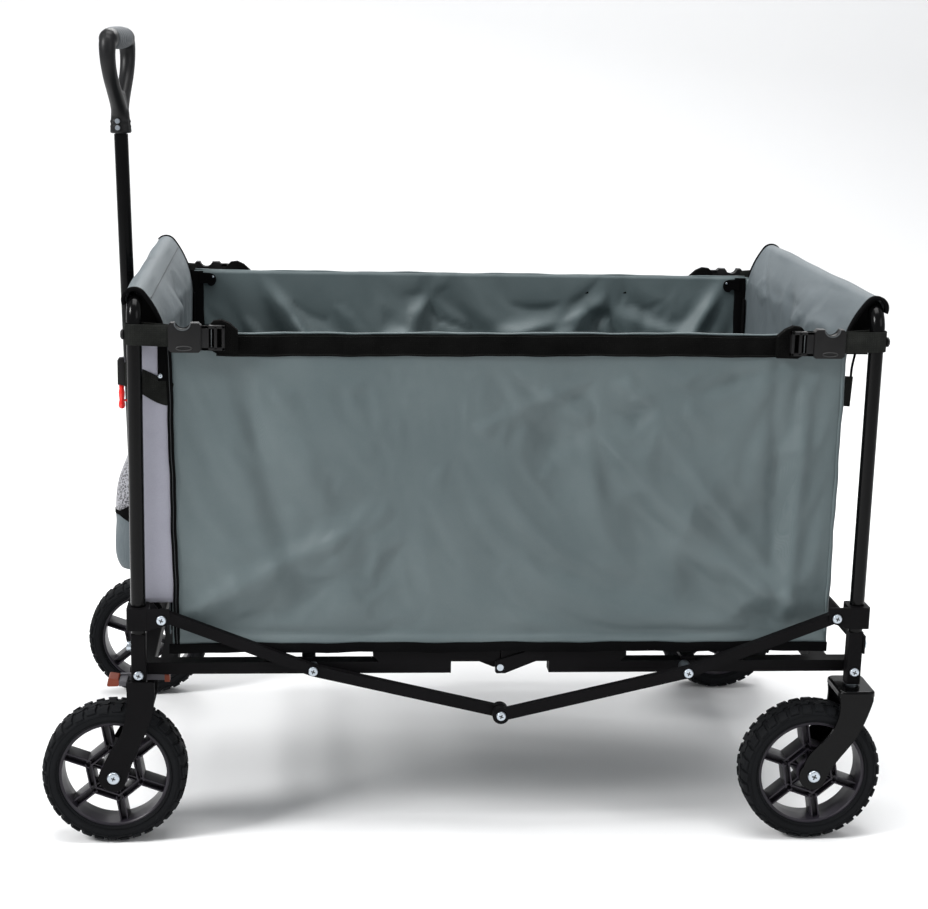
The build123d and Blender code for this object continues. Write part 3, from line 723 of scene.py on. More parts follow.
def side_trim(side, sign):
    """Bound edges, hem, stitch lines and the wide strap along the top."""
    y = sign * (SIDE_Y + 0.0006)
    out = Vector((0, sign, 0))
    hem_y = sign * (SIDE_Y + 0.0051)
    hem = wobble(line(at(-BASKET_X - 0.001, hem_y, SIDE_BOTTOM + 0.0002),
                      at(BASKET_X + 0.005, hem_y, SIDE_BOTTOM + 0.0002), 60), 0.0007, 5)
    squashed(strap(f"{side}_hem", hem, Vector((0, 0, 1)), 0.0118, 0.0017, BINDING, "rear_frame"))
    edge = wobble(line(at(-BASKET_X + 0.0085, y + sign * 0.0014, SIDE_BOTTOM),
                       at(-BASKET_X + 0.001, y + sign * 0.0014, SIDE_TOP), 40),
                  0.0004, 9, Vector((1, 0, 0)))
    strap(f"{side}_front_binding", edge, Vector((1, 0, 0)), 0.0066, 0.0046, BINDING, "front_frame")
    core = [p + out * 0.0023 for p in edge]
    cord_mesh(f"{side}_front_stitch", core, 0.0003, THREAD_AND_GLINT, "front_frame", count=5)
    corner = wobble(line(at(BASKET_X + 0.003, y - sign * 0.002, SIDE_BOTTOM),
                         at(BASKET_X + 0.003, y - sign * 0.002, SIDE_TOP - 0.002), 40), 0.0005, 9,
                    Vector((1, 0, 0)))
    cord_mesh(f"{side}_rear_fold", corner, 0.0030, GREY_CLOTH, "rear_frame")
    top = wobble(line(at(-BASKET_X + 0.004, y, SIDE_TOP), at(BASKET_X - 0.002, y, SIDE_TOP), 60),
                 0.0005, 3)
    top = [p - Vector((0, 0, near_drop(sign, p.x - MID_X))) for p in top]
    squashed(cord_mesh(f"{side}_top_fold", top, 0.0013, GREY_CLOTH, "rear_frame"))
    band = wobble(line(at(-0.330, y, STRAP_Z) + out * 0.0022, at(0.330, y, STRAP_Z) + out * 0.0022,
                       70), 0.0004, 7)
    band = [p - Vector((0, 0, near_drop(sign, p.x - MID_X))) for p in band]
    obj = squashed(strap(f"{side}_top_webbing", band, Vector((0, 0, 1)), STRAP_W, 0.0019,
                         WEBBING, "rear_frame"))
    for dz in (-0.0104, 0.0104):
        row = [p + Vector((0, 0, dz)) + out * 0.0010 for p in band]
        squashed(cord_mesh(f"{side}_strap_stitch_{'low' if dz < 0 else 'high'}", row, 0.0003,
                           LOOP_WEB, "rear_frame", count=5))
    return obj


near_band = side_trim("near", -1)
side_trim("far", 1)
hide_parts("top_webbing")


# --------------------------------------------------------------- end panels
ROLL_R = TUBE_R + 0.0038
ROLL_Y = POST_Y - 0.011
EDGE_IN = POST_X - BASKET_X


def end_profile():
    """Section of the end cloth: over the hoop, smoothly inward, then down to the floor.

    Points are (inward, height) from the hoop's axis.
    """
    start = math.radians(205)
    leave = math.radians(38)
    points = []
    for k in range(17):
        a = start + (leave - start) * k / 16
        points.append((ROLL_R * math.cos(a), ROLL_R * math.sin(a)))
    a = Vector(points[-1])
    d = Vector((EDGE_IN, -0.070))
    b = a + 0.030 * Vector((math.sin(leave), -math.cos(leave)))
    c = d + Vector((0, 0.030))
    for k in range(1, 25):
        t = k / 24
        p = a * (1 - t) ** 3 + b * 3 * t * (1 - t) ** 2 + c * 3 * t * t * (1 - t) + d * t ** 3
        points.append((p.x, p.y))
    floor = FLOOR_Z - HOOP_Z
    for k in range(1, 33):
        points.append((EDGE_IN, -0.070 + (floor + 0.070) * k / 32))
    return points


PROFILE = end_profile()
EDGE_K = 30


def end_point(sign, u, k, bulge=0.0):
    """Point of the end cloth: u runs across the wagon, k down the section."""
    inward, height = PROFILE[k]
    if k <= 16:
        half = ROLL_Y
    elif k <= EDGE_K:
        half = ROLL_Y + (SIDE_Y - 0.0012 - ROLL_Y) * ((k - 16) / (EDGE_K - 16)) ** 0.8
    else:
        half = SIDE_Y - 0.0012
    return at(sign * (POST_X - inward - bulge), half * (2 * u - 1), HOOP_Z + height)


def end_panel(end, sign):
    """Cloth rolled over the hoop's top, sloping in, then down to the floor."""
    body = f"{end}_frame"
    rng = random.Random(11 if sign < 0 else 29)
    ph = [rng.random() * 6.28 for _ in range(8)]
    columns = 96
    bm = bmesh.new()
    rows = []
    for k in range(len(PROFILE)):
        down = max(0.0, (k - 16) / (len(PROFILE) - 17))
        ring = []
        for i in range(columns + 1):
            u = i / columns
            rise = min(1.0, down / 0.34)
            fade = min(1.0, min(u, 1 - u) / 0.07) * rise * rise * (3 - 2 * rise)
            fade *= min(1.0, (1 - down) * 9)
            bulge = 0.0026 * math.sin(u * 13 + ph[0] + down * 2.5)
            bulge += 0.0060 * math.exp(-((u - 0.33 - down * 0.30) / 0.050) ** 2)
            bulge -= 0.0065 * math.exp(-((u - 0.60 + down * 0.24) / 0.045) ** 2)
            bulge += crumple(u * 0.5, down * 0.4, 5.1 + sign, 0.0130)
            roll = 0.0
            if k <= 16:
                roll = 0.0005 * math.sin(u * 11 + ph[2]) + 0.0003 * math.sin(u * 23 + ph[3])
            p = end_point(sign, u, k, bulge * fade * 0.7)
            centre = at(sign * POST_X, p.y, HOOP_Z)
            if k <= 16:
                p = centre + (p - centre) * (1 + roll / ROLL_R)
            if sign > 0 and 12 < k < 44:
                far = max(0.0, 1 - abs(u - (0.98 - (k - 12) * 0.012)) / 0.035)
                p += Vector((0, 0, -0.0032)) * far * math.sin(math.pi * (k - 12) / 32)
            ring.append(bm.verts.new(p))
        rows.append(ring)
    for a, b in zip(rows, rows[1:]):
        for i in range(columns):
            bm.faces.new((a[i], a[i + 1], b[i + 1], b[i]))
    sheet = from_bmesh(f"{end}_end_cloth", bm, ROLL_CLOTH)
    edge_z = SIDE_TOP - 0.004

    def held(p):
        if p.z > edge_z - 0.004 or p.z < FLOOR_Z + 0.012 or abs(p.y) > SIDE_Y - 0.008:
            return 1.0
        return 0.0

    drape(sheet, held, 0.0, 7, 0.15)
    thicken(sheet, 0.0016)
    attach(sheet, body)
    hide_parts(f"{end}_end_panel")
    # seam a little below the roll
    seam = []
    for i in range(61):
        p = end_point(sign, 0.03 + 0.94 * i / 60, 19)
        seam.append(p + Vector((-sign * 0.0009, 0, 0.0007)))
    if sign < 0:
        cord_mesh(f"{end}_roll_seam", wobble(seam, 0.0002, 4), 0.0006, THREAD_AND_GLINT, body, count=6)
    for side, u, y_sign in (("near", 0.0, -1), ("far", 1.0, 1)):
        wide = 0.0088 if u == 0.0 else 0.0046
        path = [end_point(sign, u, k) + Vector((0, y_sign * 0.0008, 0))
                for k in range(0 if u == 0.0 else 6, EDGE_K)]
        strap(f"{end}_{side}_arch", path, Vector((0, 1, 0)), wide, 0.0046, BINDING, body)
        bm = bmesh.new()
        fill = [end_point(sign, u, k) for k in range(10, EDGE_K + 2)]
        low_z = SIDE_TOP - 0.022
        fill.append(Vector((fill[-1].x, fill[-1].y, low_z)))
        ring = []
        for p in fill:
            base_x = at(sign * (POST_X - 0.0040), 0, 0).x
            ring.append((Vector((base_x, p.y, max(low_z, min(p.z, HOOP_Z + 0.004)))), p))
        for y_off in (0.0, -0.0016 * y_sign):
            loop = [[bm.verts.new(q + Vector((0, y_off, 0))) for q in pair] for pair in ring]
            for a, b in zip(loop, loop[1:]):
                bm.faces.new((a[0], a[1], b[1], b[0]))
        bmesh.ops.remove_doubles(bm, verts=bm.verts, dist=1e-5)
        from_bmesh(f"{end}_{side}_sleeve_side", bm, BINDING, body, smooth=False)
        x_in = sign * (BASKET_X - 0.0080)
        flat = Vector((1, 0, 0))
        tape = line(at(x_in, y_sign * (SIDE_Y - 0.0034), FLOOR_Z + 0.004),
                    at(x_in, y_sign * (SIDE_Y - 0.0034), SIDE_TOP - 0.001), 30)
        strap(f"{end}_{side}_corner_tape", wobble(tape, 0.0006, 8, flat), flat, 0.0155, 0.0024,
              BINDING, body)
        x_edge = sign * (BASKET_X - 0.0032)
        y_edge = y_sign * (SIDE_Y - 0.0080)
        across = line(at(x_edge, y_edge, FLOOR_Z + 0.004), at(x_edge, y_edge, SIDE_TOP - 0.03), 30)
        strap(f"{end}_{side}_corner_edge", wobble(across, 0.0006, 3, Vector((0, 1, 0))),
              Vector((0, 1, 0)), 0.0130, 0.0024, BINDING, body)
        corner_lug(f"{end}_{side}", sign, y_sign, body)
    return sheet


def corner_lug(name, sign, y_sign, body):
    """Small folded tab with a stud at the top of an inside corner."""
    plan = [(0.010, -0.003), (0.026, -0.004), (0.0315, -0.008), (0.0325, -0.014), (0.0290, -0.020),
            (0.0235, -0.0205), (0.0200, -0.0170), (0.010, -0.019)]
    outline = smooth_path([at(sign * (BASKET_X - x), 0, SIDE_TOP + z) for x, z in plan], 4)
    bm = bmesh.new()
    y0 = y_sign * (SIDE_Y - 0.0062)
    y1 = y_sign * (SIDE_Y - 0.0030)
    a = [bm.verts.new((p.x, y0, p.z)) for p in outline]
    b = [bm.verts.new((p.x, y1, p.z)) for p in outline]
    bm.faces.new(a)
    bm.faces.new(b[::-1])
    n = len(a)
    for k in range(n):
        bm.faces.new((a[k], a[(k + 1) % n], b[(k + 1) % n], b[k]))
    from_bmesh(f"{name}_corner_lug", bm, BINDING, body, smooth=False)
    bm = bmesh.new()
    centre = at(sign * (BASKET_X - 0.0285), y0, SIDE_TOP - 0.0085)
    ends = [(0.0002, -0.0009), (0.0013, -0.0008), (0.0016, 0.0), (0.0002, 0.0004)]
    revolve(bm, [(r, -y_sign * -h) for r, h in ends], 12, centre)
    from_bmesh(f"{name}_corner_stud", bm, ZINC, body)


end_panel("front", -1)
end_panel("rear", 1)


def front_gusset():
    """Outer layer of the front end: it closes the gap towards the hoop legs."""
    depth = 0.0390
    start = BASKET_X - 0.0025
    half = SIDE_Y + 0.0004
    length = 2 * half + 2 * depth

    def wrap(u, v):
        s_len = u * length
        lean = 0.0065 * (1 - v)
        if s_len < depth:
            x = start + s_len - lean * (1 - s_len / depth)
            y = -half
        elif s_len < depth + 2 * half:
            y = -half + (s_len - depth)
            edge = min(s_len - depth, depth + 2 * half - s_len)
            ease = 1 - min(1.0, edge / 0.05)
            x = start + depth - 0.014 + 0.014 * ease ** 2
        else:
            back = s_len - depth - 2 * half
            x = start + depth - back - lean * back / depth
            y = half
        z = 0.288 + v * (SIDE_TOP - 0.014 - 0.288)
        low = (1 - v) ** 6
        pull = 0.0024 * math.sin(v * 9 + 1.0) + 0.0030 * math.sin(u * 31 + v * 2)
        pull += 0.0012 * math.sin(v * 23)
        side = max(0.0, (x - BASKET_X) / depth)
        return at(-(x + pull * side - 0.012 * low * side), y, z)

    cloth = grid_mesh("front_gusset", wrap, 120, 50, END_CLOTH, None, 0.0014)
    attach(cloth, "front_frame")
    for side, y_sign in (("near", -1), ("far", 1)):
        y = y_sign * (half + 0.0020)
        dark = line(at(-BASKET_X - 0.0050, y, 0.548), at(-BASKET_X - 0.0050, y, 0.590), 6)
        strap(f"front_{side}_gusset_tab", dark, Vector((1, 0, 0)), 0.0112, 0.0022, BINDING,
              "front_frame")


front_gusset()


# ------------------------------------------------------ buckles, loops, clip
def prism(name, outline, y0, y1, bevel, mat, body):
    """Solid with an outline in XZ, from y0 to y1, with softened edges."""
    bm = bmesh.new()
    a = [bm.verts.new((p.x, y0, p.z)) for p in outline]
    b = [bm.verts.new((p.x, y1, p.z)) for p in outline]
    n = len(a)
    bm.faces.new(a)
    bm.faces.new(b[::-1])
    for k in range(n):
        bm.faces.new((a[k], a[(k + 1) % n], b[(k + 1) % n], b[k]))
    if bevel:
        rims = [e for e in bm.edges if abs(e.verts[0].co.y - e.verts[1].co.y) < 1e-6]
        bmesh.ops.bevel(bm, geom=rims, offset=bevel, segments=2, profile=0.6, affect="EDGES")
    obj = from_bmesh(name, bm, mat, body)
    sharpen(obj, 40)
    return obj


BUCKLE_Z = 0.600


def buckle(end, sign, side, y_sign):
    body = f"{end}_frame"
    y_out = y_sign * (POST_Y + 0.0072)
    y_in = y_sign * (POST_Y - 0.0040)

    def p(x, z):
        return at(sign * x, 0, BUCKLE_Z + z)

    notch = [p(0.3665 + 0.0088 * math.cos(math.radians(a)),
               0.0170 - 0.0088 * 0.9 * math.sin(math.radians(a))) for a in range(0, 181, 20)]
    outline = [p(0.3460, -0.0135), p(0.3490, -0.0165), p(0.3790, -0.0165), p(0.3825, -0.0135),
               p(0.3825, 0.0140), p(0.3800, 0.0170)]
    outline += notch + [p(0.3490, 0.0170), p(0.3460, 0.0140)]
    prism(f"{end}_{side}_buckle", outline, y_out, y_in, 0.0009, PLASTIC, body)
    # Grey cord along the release notch: a painted highlight on the notch edge.
    lip = [q + Vector((0, y_out + y_sign * 0.0001, -0.0004)) for q in notch]
    cord_mesh(f"{end}_{side}_buckle_notch_glint", lip, 0.0008, THREAD_AND_GLINT, body, count=6)
    # Dark ring marking the buckle slot: painted shade of the slot, not a cut opening.
    oval = []
    for k in range(16):
        a = 2 * math.pi * k / 16
        oval.append(p(0.3650 + 0.0088 * math.cos(a), -0.0115 + 0.0024 * math.sin(a))
                    + Vector((0, y_out + y_sign * 0.0002, 0)))
    cord_mesh(f"{end}_{side}_buckle_slot", oval, 0.0007, RECESS_SHADE, body, closed=True, count=6)
    frame_y = y_sign * (POST_Y + 0.0058)
    back_y = y_sign * (POST_Y - 0.0030)
    for k, (x0, x1, low, high) in enumerate((
            (0.3200, 0.3235, -0.0140, 0.0140), (0.3285, 0.3320, -0.0130, 0.0130),
            (0.3375, 0.3462, -0.0140, 0.0140), (0.3200, 0.3462, 0.0105, 0.0140),
            (0.3200, 0.3462, -0.0140, -0.0105))):
        box = [p(x0, low), p(x1, low), p(x1, high), p(x0, high)]
        prism(f"{end}_{side}_ladder_{k}", box, frame_y, back_y, 0.0006, PLASTIC, body)
    # Grey cord on the ladder bar: a painted highlight along its edge.
    for k, x in enumerate((0.3348,)):
        glint = [p(x, -0.0100) + Vector((0, frame_y, 0)), p(x, 0.0100) + Vector((0, frame_y, 0))]
        cord_mesh(f"{end}_{side}_ladder_glint", glint, 0.0005, THREAD_AND_GLINT, body, count=6)
    # webbing turned back round the ladder bar
    hump = [p(0.3060, -0.0180), p(0.3300, -0.0185), p(0.3400, -0.0130), p(0.3400, 0.0100),
            p(0.3330, 0.0178), p(0.3240, 0.0190), p(0.3150, 0.0150), p(0.3060, 0.0070)]
    prism(f"{end}_{side}_hump", hump, y_sign * (POST_Y - 0.0022), y_sign * (SIDE_Y + 0.0030),
          0.0008, WEBBING, body)
    # webbing loop round the hoop leg
    r = TUBE_R + 0.0018
    plan = [(0.3790, 0.0044)]
    plan += [(0.4200 - r * math.sin(math.radians(a)), r * math.cos(math.radians(a)))
             for a in range(30, -211, -20)]
    plan += [(0.3790, -0.0042)]
    path = []
    for x, y in plan:
        drop = (0.4200 - x) / 0.041 * 0.0022
        path.append(at(sign * x, y_sign * (POST_Y + y), 0.6036 - max(0.0, drop)))
    strap(f"{end}_{side}_loop", path, Vector((0, 0, 1)), 0.0238, 0.0017, LOOP_WEB, body)


for end, sign in (("front", -1), ("rear", 1)):
    for side, y_sign in (("near", -1), ("far", 1)):
        buckle(end, sign, side, y_sign)
    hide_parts(f"{end}_buckles")
    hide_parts(f"{end}_strap_loops")


def clip_set():
    """Keeper on its strap, and the red clip hanging below it."""
    y = -0.2360
    x0 = -POST_X - 0.0210
    box = [at(x0, 0, 0.5412), at(x0 + 0.0082, 0, 0.5412), at(x0 + 0.0082, 0, 0.5705),
           at(x0 + 0.0070, 0, 0.5722), at(x0 + 0.0016, 0, 0.5716), at(x0, 0, 0.5690)]
    keeper = prism("keeper_block", box, y - 0.0050, y + 0.0050, 0.0010, PLASTIC, "front_frame")
    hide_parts("clip_keeper")
    band = smooth_path([at(x0 + 0.004, y - 0.0012, 0.5540), at(-POST_X - 0.004, -0.2440, 0.5510),
                        at(-POST_X + 0.013, -0.2482, 0.5440), at(-BASKET_X - 0.006, -0.2482, 0.5350),
                        at(-BASKET_X + 0.004, -0.2466, 0.5320)], 6)
    strap("keeper_strap", band, Vector((0, 0, 1)), 0.0270, 0.0018, LOOP_WEB, "front_frame")
    bm = bmesh.new()
    centre = at(-POST_X - 0.0170, y, 0.0)
    shape = [(0.0004, 0.5130), (0.0028, 0.5138), (0.0039, 0.5165), (0.0036, 0.5200),
             (0.0028, 0.5232), (0.0033, 0.5270), (0.0036, 0.5320), (0.0028, 0.5360),
             (0.0030, 0.5395), (0.0026, 0.5412), (0.0004, 0.5414)]
    revolve(bm, shape, 20, centre, "Z")
    clip = from_bmesh("red_clip_body", bm, RED, "front_frame")
    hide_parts("red_clip")
    stud = [centre + Vector((0, 0, 0.5230)), centre + Vector((0.0062, 0, 0.5228))]
    cord_mesh("red_clip_stud", stud, 0.0013, RED, "front_frame", count=10)
    bm = bmesh.new()
    revolve(bm, [(0.0002, -0.0014), (0.0018, -0.0013), (0.0030, -0.0004), (0.0032, 0.0008),
                 (0.0002, 0.0010)], 20, at(-BASKET_X - 0.0078, -0.2494, 0.5535))
    from_bmesh("gusset_rivet", bm, ZINC, "front_frame")


clip_set()


def rear_tab():
    """Short webbing tab with a thin loop at the rear corner of the basket."""
    x = BASKET_X + 0.0100
    low = line(at(x, -0.2400, 0.5230), at(x + 0.0015, -0.2400, 0.5580), 6)
    strap("rear_tab", low, Vector((1, 0, 0)), 0.0115, 0.0040, LOOP_WEB, "rear_frame")
    for k, dx in enumerate((-0.0040, 0.0045)):
        piece = smooth_path([at(x + dx, -0.2400, 0.5560), at(x + dx * 1.1, -0.2405, 0.5700),
                             at(x + 0.002 + dx * 1.4, -0.2410, 0.5900)], 5)
        strap(f"rear_tab_loop_{k}", piece, Vector((1, 0, 0)), 0.0030, 0.0020, BINDING, "rear_frame")


rear_tab()


def loop_knobs():
    """Round stud on the outer face of each webbing loop."""
    for end, sign in (("front", -1), ("rear", 1)):
        for side, y_sign in (("near", -1), ("far", 1)):
            bm = bmesh.new()
            reach = sign * (TUBE_R + 0.0024)
            profile = [(0.0002, 0.0), (0.0048, 0.0), (0.0058, sign * 0.0010),
                       (0.0056, sign * 0.0026), (0.0036, sign * 0.0040), (0.0002, sign * 0.0044)]
            revolve(bm, profile, 20, at(sign * POST_X + reach, y_sign * POST_Y, 0.6025), "X")
            from_bmesh(f"{end}_{side}_loop_knob", bm, PLASTIC, f"{end}_frame")


loop_knobs()


# ------------------------------------------------------------------ pockets
def pocket_outline(t, y_sign, spread=0.0):
    """Plan of a pocket from its inner seam round to its outer one."""
    low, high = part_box("drink_pockets")
    front = -(low[0] - MID_X) - 0.0012 + spread
    back = BASKET_X + 0.0195
    y0 = 0.060
    y1 = high[1] - 0.001 + spread
    r = 0.024
    side = front - back - r
    width = y1 - y0 - 2 * r
    bend = math.pi * r / 2
    total = 2 * side + 2 * bend + width
    s_len = t * total
    if s_len < side:
        x, y = back + s_len, y0
    elif s_len < side + bend:
        a = (s_len - side) / r
        x, y = front - r + r * math.sin(a), y0 + r - r * math.cos(a)
    elif s_len < side + bend + width:
        x, y = front, y0 + r + (s_len - side - bend)
    elif s_len < side + 2 * bend + width:
        a = (s_len - side - bend - width) / r
        x, y = front - r + r * math.cos(a), y1 - r + r * math.sin(a)
    else:
        x, y = front - r - (s_len - side - 2 * bend - width), y1
    return x, y * y_sign, total


def pocket(side, y_sign):
    low_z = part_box("drink_pockets")[0][2] - 0.015
    top_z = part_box("drink_pockets")[1][2] + 0.004
    back = BASKET_X + 0.0195

    def gap(t):
        """Half height of the black gusset: none at the front, wide at the sides."""
        return 0.0018 + 0.021 * max(0.0, abs(2 * t - 1) - 0.60) / 0.40

    def apex(t):
        return low_z + 0.068

    def lower(u, v):
        x, y, _ = pocket_outline(u, y_sign)
        z = low_z + 0.0006 + v * (apex(u) - gap(u) - low_z)
        dent = 0.0016 * math.sin(u * 19 + v * 3) * math.sin(math.pi * v)
        tuck = 0.005 * (1 - v) ** 9
        return at(-(x + dent - tuck), y, z)

    def middle(u, v):
        x, y, _ = pocket_outline(u, y_sign, 0.0003)
        return at(-x, y, apex(u) + (2 * v - 1) * (gap(u) + 0.0006))

    def upper(u, v):
        x, y, _ = pocket_outline(u, y_sign)
        a = v * math.radians(66)
        z0 = apex(u) + gap(u)
        x = back + (x - back) * math.cos(a) ** 0.55
        return at(-x, y, z0 + (top_z - z0) * math.sin(a) / math.sin(math.radians(66)))

    cloth = grid_mesh(f"{side}_pocket_cloth", lower, 60, 16, ROLL_CLOTH, None, 0.0014)
    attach(cloth, "front_frame")
    net = grid_mesh(f"{side}_pocket_mesh", upper, 60, 16, MESH, None, 0.0010)
    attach(net, "front_frame")
    gusset = grid_mesh(f"{side}_pocket_gusset", middle, 60, 6, BINDING, None, 0.0018)
    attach(gusset, "front_frame")
    edge = [upper(i / 40, 1.0) + Vector((0, 0, 0.0004)) for i in range(41)]
    strap(f"{side}_pocket_rim", edge, Vector((0, 0, 1)), 0.0036, 0.0022, BINDING, "front_frame")

    def base(u, v):
        x, y, _ = pocket_outline(u, y_sign)
        y_mid = y_sign * (0.060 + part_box("drink_pockets")[1][1]) / 2
        return at(-(back + (x - 0.011 - back) * v), y_mid + (y - y_mid) * v, low_z + 0.0016)

    bottom = grid_mesh(f"{side}_pocket_base", base, 60, 6, ROLL_CLOTH, None, 0.0014)
    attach(bottom, "front_frame")
    return cloth


near_pocket = pocket("near", -1)
pocket("far", 1)
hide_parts("drink_pockets")


# ------------------------------------------------------------------- handle
LEAN = math.radians(-1.47)
GRIP_TURN = math.radians(-10)


def handle_matrix():
    """Places pieces built upright over the collar's lower end."""
    pivot = Matrix.Translation(at(-0.440, 0, 0.215)) @ Matrix.Rotation(LEAN, 4, "Y")
    return pivot @ Matrix.Translation((0, 0, 0.591)) @ Matrix.Rotation(GRIP_TURN, 4, "Z")


def ball(bm, centre, radius, flat=1.0):
    made = bmesh.ops.create_icosphere(bm, subdivisions=3, radius=radius)["verts"]
    for v in made:
        v.co = Vector((v.co.x * flat, v.co.y, v.co.z)) + centre


def grip():
    place = handle_matrix()
    bm = bmesh.new()
    for s in (-1, 1):
        spine = smooth_path([(0, 0, 0.018), (0, 0.0075 * s, 0.034), (0, 0.0220 * s, 0.051),
                             (0, 0.0360 * s, 0.068), (0, 0.0440 * s, 0.086),
                             (0, 0.0445 * s, 0.101), (0, 0.0390 * s, 0.1115),
                             (0, 0.0280 * s, 0.1135)], 7)
        for i, q in enumerate(spine):
            t = i / (len(spine) - 1)
            radius = 0.0106 - 0.0014 * math.sin(math.pi * min(1, t * 1.3))
            ball(bm, q, radius + (0.0012 if t > 0.86 else 0.0), 0.98)
            if q.z < 0.047:
                thin = 1 - 0.45 * max(0.0, (q.z - 0.030) / 0.017) ** 2
                for part in (0.0, 0.25, 0.5, 0.75):
                    ball(bm, Vector((0, q.y * part, q.z)), radius * 0.92 * thin)
    for k in range(12):
        a = 2 * math.pi * k / 12
        flute = [Vector((0.0118 * math.cos(a), 0.0118 * math.sin(a), z))
                 for z in (0.003, 0.008, 0.014)]
        for q in flute:
            ball(bm, q, 0.0017)
    collar = [(0.0080, 0.0000), (0.0126, 0.0000), (0.0131, 0.0012), (0.0127, 0.0050),
              (0.0119, 0.0120), (0.0114, 0.0190), (0.0108, 0.0280), (0.0080, 0.0280)]
    revolve(bm, collar, 40, Vector((0, 0, 0)), "Z")
    obj = from_bmesh("grip_frame", bm, GRIP)
    mod = obj.modifiers.new("merge", "REMESH")
    mod.mode = "VOXEL"
    mod.voxel_size = 0.0011
    soften = obj.modifiers.new("soften", "SMOOTH")
    soften.iterations = 10
    soften.factor = 0.5
    bake_modifiers(obj)
    obj.data.transform(place)
    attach(obj, "handle_slider")
    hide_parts("handle_grip")
    bm = bmesh.new()
    around = 72
    along = 84
    rings = []
    for j in range(along + 1):
        t = j / along
        y = -0.0300 + 0.0600 * t
        belly = 0.0118 + 0.0016 * math.sin(math.pi * t)
        close = min(1.0, min(t, 1 - t) / 0.04)
        ring = []
        for i in range(around):
            a = 2 * math.pi * i / around
            groove = math.tanh(2.5 * math.sin(y * 900 + a * 2.0) + 1.2)
            side = 0.5 + 0.5 * math.tanh(4 * (abs(math.cos(a)) - 0.35))
            r = belly * (0.90 + 0.10 * close) + 0.0009 * groove * close * side
            ring.append(bm.verts.new((r * math.cos(a), y, 0.1130 + r * math.sin(a))))
        rings.append(ring)
    for j in range(along):
        for i in range(around):
            k = (i + 1) % around
            bm.faces.new((rings[j][i], rings[j][k], rings[j + 1][k], rings[j + 1][i]))
    bm.faces.new(rings[0][::-1])
    bm.faces.new(rings[-1])
    cover = from_bmesh("grip_pad", bm, GRIP_PAD)
    cover.data.transform(place)
    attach(cover, "handle_slider")
    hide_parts("handle_grip_cover")


grip()


# ------------------------------------------------------------ screw recesses
def recess(name, centre, size, body):
    """Cross recess as a dark cross of painted shade, standing a hair proud of a screw head."""
    bm = bmesh.new()
    for k in range(2):
        turn = Matrix.Translation(centre) @ Matrix.Rotation(math.radians(20 + 90 * k), 4, "Y")
        add_box(bm, (-size, -0.0003, -size * 0.24), (size, 0.0003, size * 0.24), 0.0, turn)
    from_bmesh(name, bm, RECESS_SHADE, body, smooth=False)


def screw_marks():
    for node, body in (("front_bracket_screws", "front_bracket_pair"),
                       ("rear_bracket_screws", "rear_bracket_pair"),
                       ("front_scissor_pins", "front_rail_frame"),
                       ("rear_scissor_pins", "rear_rail_frame"), ("low_screws", "rear_link_pair"),
                       ("front_axles", "front_frame")):
        low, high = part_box(node)
        x = (low[0] + high[0]) / 2
        z = (low[2] + high[2]) / 2
        recess(f"{node}_cross_near", Vector((x, low[1] - 0.0001, z)), 0.0026, body)
        recess(f"{node}_cross_far", Vector((x, high[1] + 0.0001, z)), 0.0026, body)
    for end, sign in (("front", -1), ("rear", 1)):
        low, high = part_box(f"{end}_post_bolts")
        for side, y in (("near", low[1] - 0.0001), ("far", high[1] + 0.0001)):
            recess(f"{end}_{side}_post_cross", at(sign * POST_X, y, 0.207), 0.0026,
                   f"{end}_frame")
    low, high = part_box("rear_near_axle")
    recess("rear_near_axle_cross", Vector(((low[0] + high[0]) / 2, low[1] - 0.0001,
                                           (low[2] + high[2]) / 2)), 0.0032, "near_caster")


screw_marks()


# -------------------------------------------------------------------- floor
def floor_shape(u, v):
    x = -BASKET_X + 0.003 + u * (2 * BASKET_X - 0.006)
    y = -SIDE_Y + 0.003 + v * 2 * (SIDE_Y - 0.003)
    sag = 0.0016 * math.sin(u * math.pi * 4) ** 2 + 0.0008 * math.sin(v * 7 + u * 5)
    return at(x, y, FLOOR_Z + 0.0012 - sag)


floor_cloth = grid_mesh("floor_sheet", floor_shape, 60, 36, GREY_CLOTH, None, 0.003)
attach(floor_cloth, "rear_frame")
squashed(floor_cloth)
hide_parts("floor_cloth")
for index in range(1, 4):
    x = -BASKET_X + 2 * BASKET_X * index / 4
    seam_line = line(at(x, -SIDE_Y + 0.006, FLOOR_Z + 0.0022),
                     at(x, SIDE_Y - 0.006, FLOOR_Z + 0.0022), 20)
    squashed(strap(f"floor_fold_{index}", seam_line, Vector((1, 0, 0)), 0.008, 0.0018, BINDING,
                   "rear_frame"))


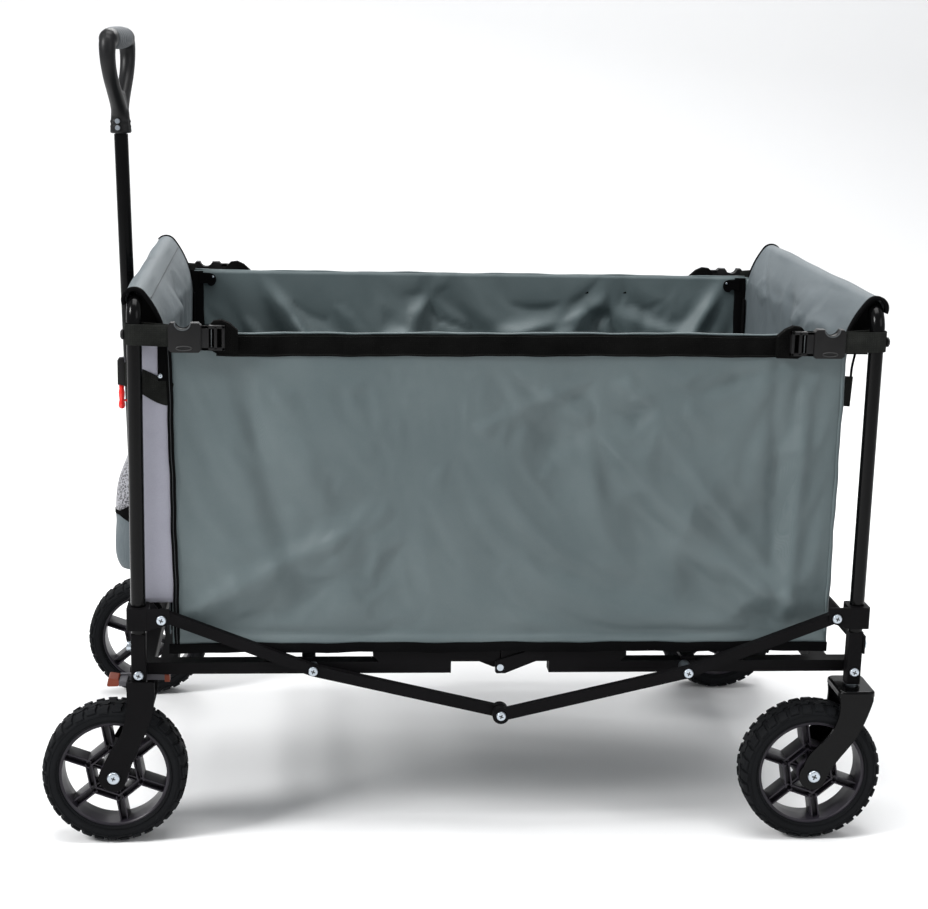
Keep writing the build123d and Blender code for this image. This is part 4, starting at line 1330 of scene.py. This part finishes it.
# ------------------------------------------------------------ stage and camera
def make_stage():
    bm = bmesh.new()
    profile = [(-6.0, 0.0), (3.2, 0.0)]
    for k in range(1, 13):
        a = math.radians(90 * k / 12)
        profile.append((3.2 + 1.6 * math.sin(a), 1.6 * (1 - math.cos(a))))
    profile.append((4.8, 5.5))
    rows = [[bm.verts.new((x, y, z - 0.0004)) for x in (-9, 9)] for y, z in profile]
    for a, b in zip(rows, rows[1:]):
        bm.faces.new((a[0], a[1], b[1], b[0]))
    bmesh.ops.recalc_face_normals(bm, faces=bm.faces)
    mesh = bpy.data.meshes.new("studio")
    bm.to_mesh(mesh)
    bm.free()
    obj = bpy.data.objects.new("studio", mesh)
    bpy.context.scene.collection.objects.link(obj)
    mat, _, _, bsdf = shader("studio_white")
    bsdf.inputs["Base Color"].default_value = (0.86, 0.86, 0.86, 1)
    bsdf.inputs["Roughness"].default_value = 0.9
    bsdf.inputs["Specular IOR Level"].default_value = 0.1
    mesh.materials.append(mat)
    for face in mesh.polygons:
        face.use_smooth = True


def area_light(name, place, target, size, power, colour=(1, 1, 1)):
    data = bpy.data.lights.new(name, "AREA")
    data.shape = "RECTANGLE"
    data.size = size[0]
    data.size_y = size[1]
    data.energy = power
    data.color = colour
    obj = bpy.data.objects.new(name, data)
    bpy.context.scene.collection.objects.link(obj)
    obj.location = place
    obj.rotation_euler = (Vector(target) - Vector(place)).to_track_quat("-Z", "Y").to_euler()


make_stage()
area_light("key", (-3.4, -1.7, 2.8), (0, 0, 0.35), (1.1, 1.1), 170)
area_light("fill", (3.2, -3.0, 2.4), (0, 0, 0.35), (2.4, 2.0), 35)
area_light("top", (0, -0.3, 3.8), (0, 0, 0), (2.6, 2.0), 125)
area_light("back", (0.5, 3.0, 3.0), (0, 0, 0.6), (3.0, 1.2), 90)
world = bpy.data.worlds.new("soft_world")
world.use_nodes = True
world.node_tree.nodes["Background"].inputs["Color"].default_value = (0.95, 0.97, 1.0, 1)
world.node_tree.nodes["Background"].inputs["Strength"].default_value = 0.5
bpy.context.scene.world = world
bpy.context.scene.view_settings.view_transform = "Standard"

YAW = 0.0877
PITCH = 0.2279
ROLL = 0.0249
FOCAL = 1892.1 / 928 * 36


def make_camera():
    ahead = Vector((math.sin(YAW) * math.cos(PITCH), math.cos(YAW) * math.cos(PITCH),
                    -math.sin(PITCH)))
    right = ahead.cross(Vector((0, 0, 1))).normalized()
    up = right.cross(ahead)
    right_r = right * math.cos(ROLL) + up * math.sin(ROLL)
    up_r = -right * math.sin(ROLL) + up * math.cos(ROLL)
    data = bpy.data.cameras.new("camera")
    data.sensor_width = 36
    data.lens = FOCAL
    obj = bpy.data.objects.new("camera", data)
    bpy.context.scene.collection.objects.link(obj)
    place = at(*CAMERA_AT)
    obj.matrix_world = Matrix((
        (right_r.x, up_r.x, -ahead.x, place.x), (right_r.y, up_r.y, -ahead.y, place.y),
        (right_r.z, up_r.z, -ahead.z, place.z), (0, 0, 0, 1)))
    bpy.context.scene.camera = obj


make_camera()
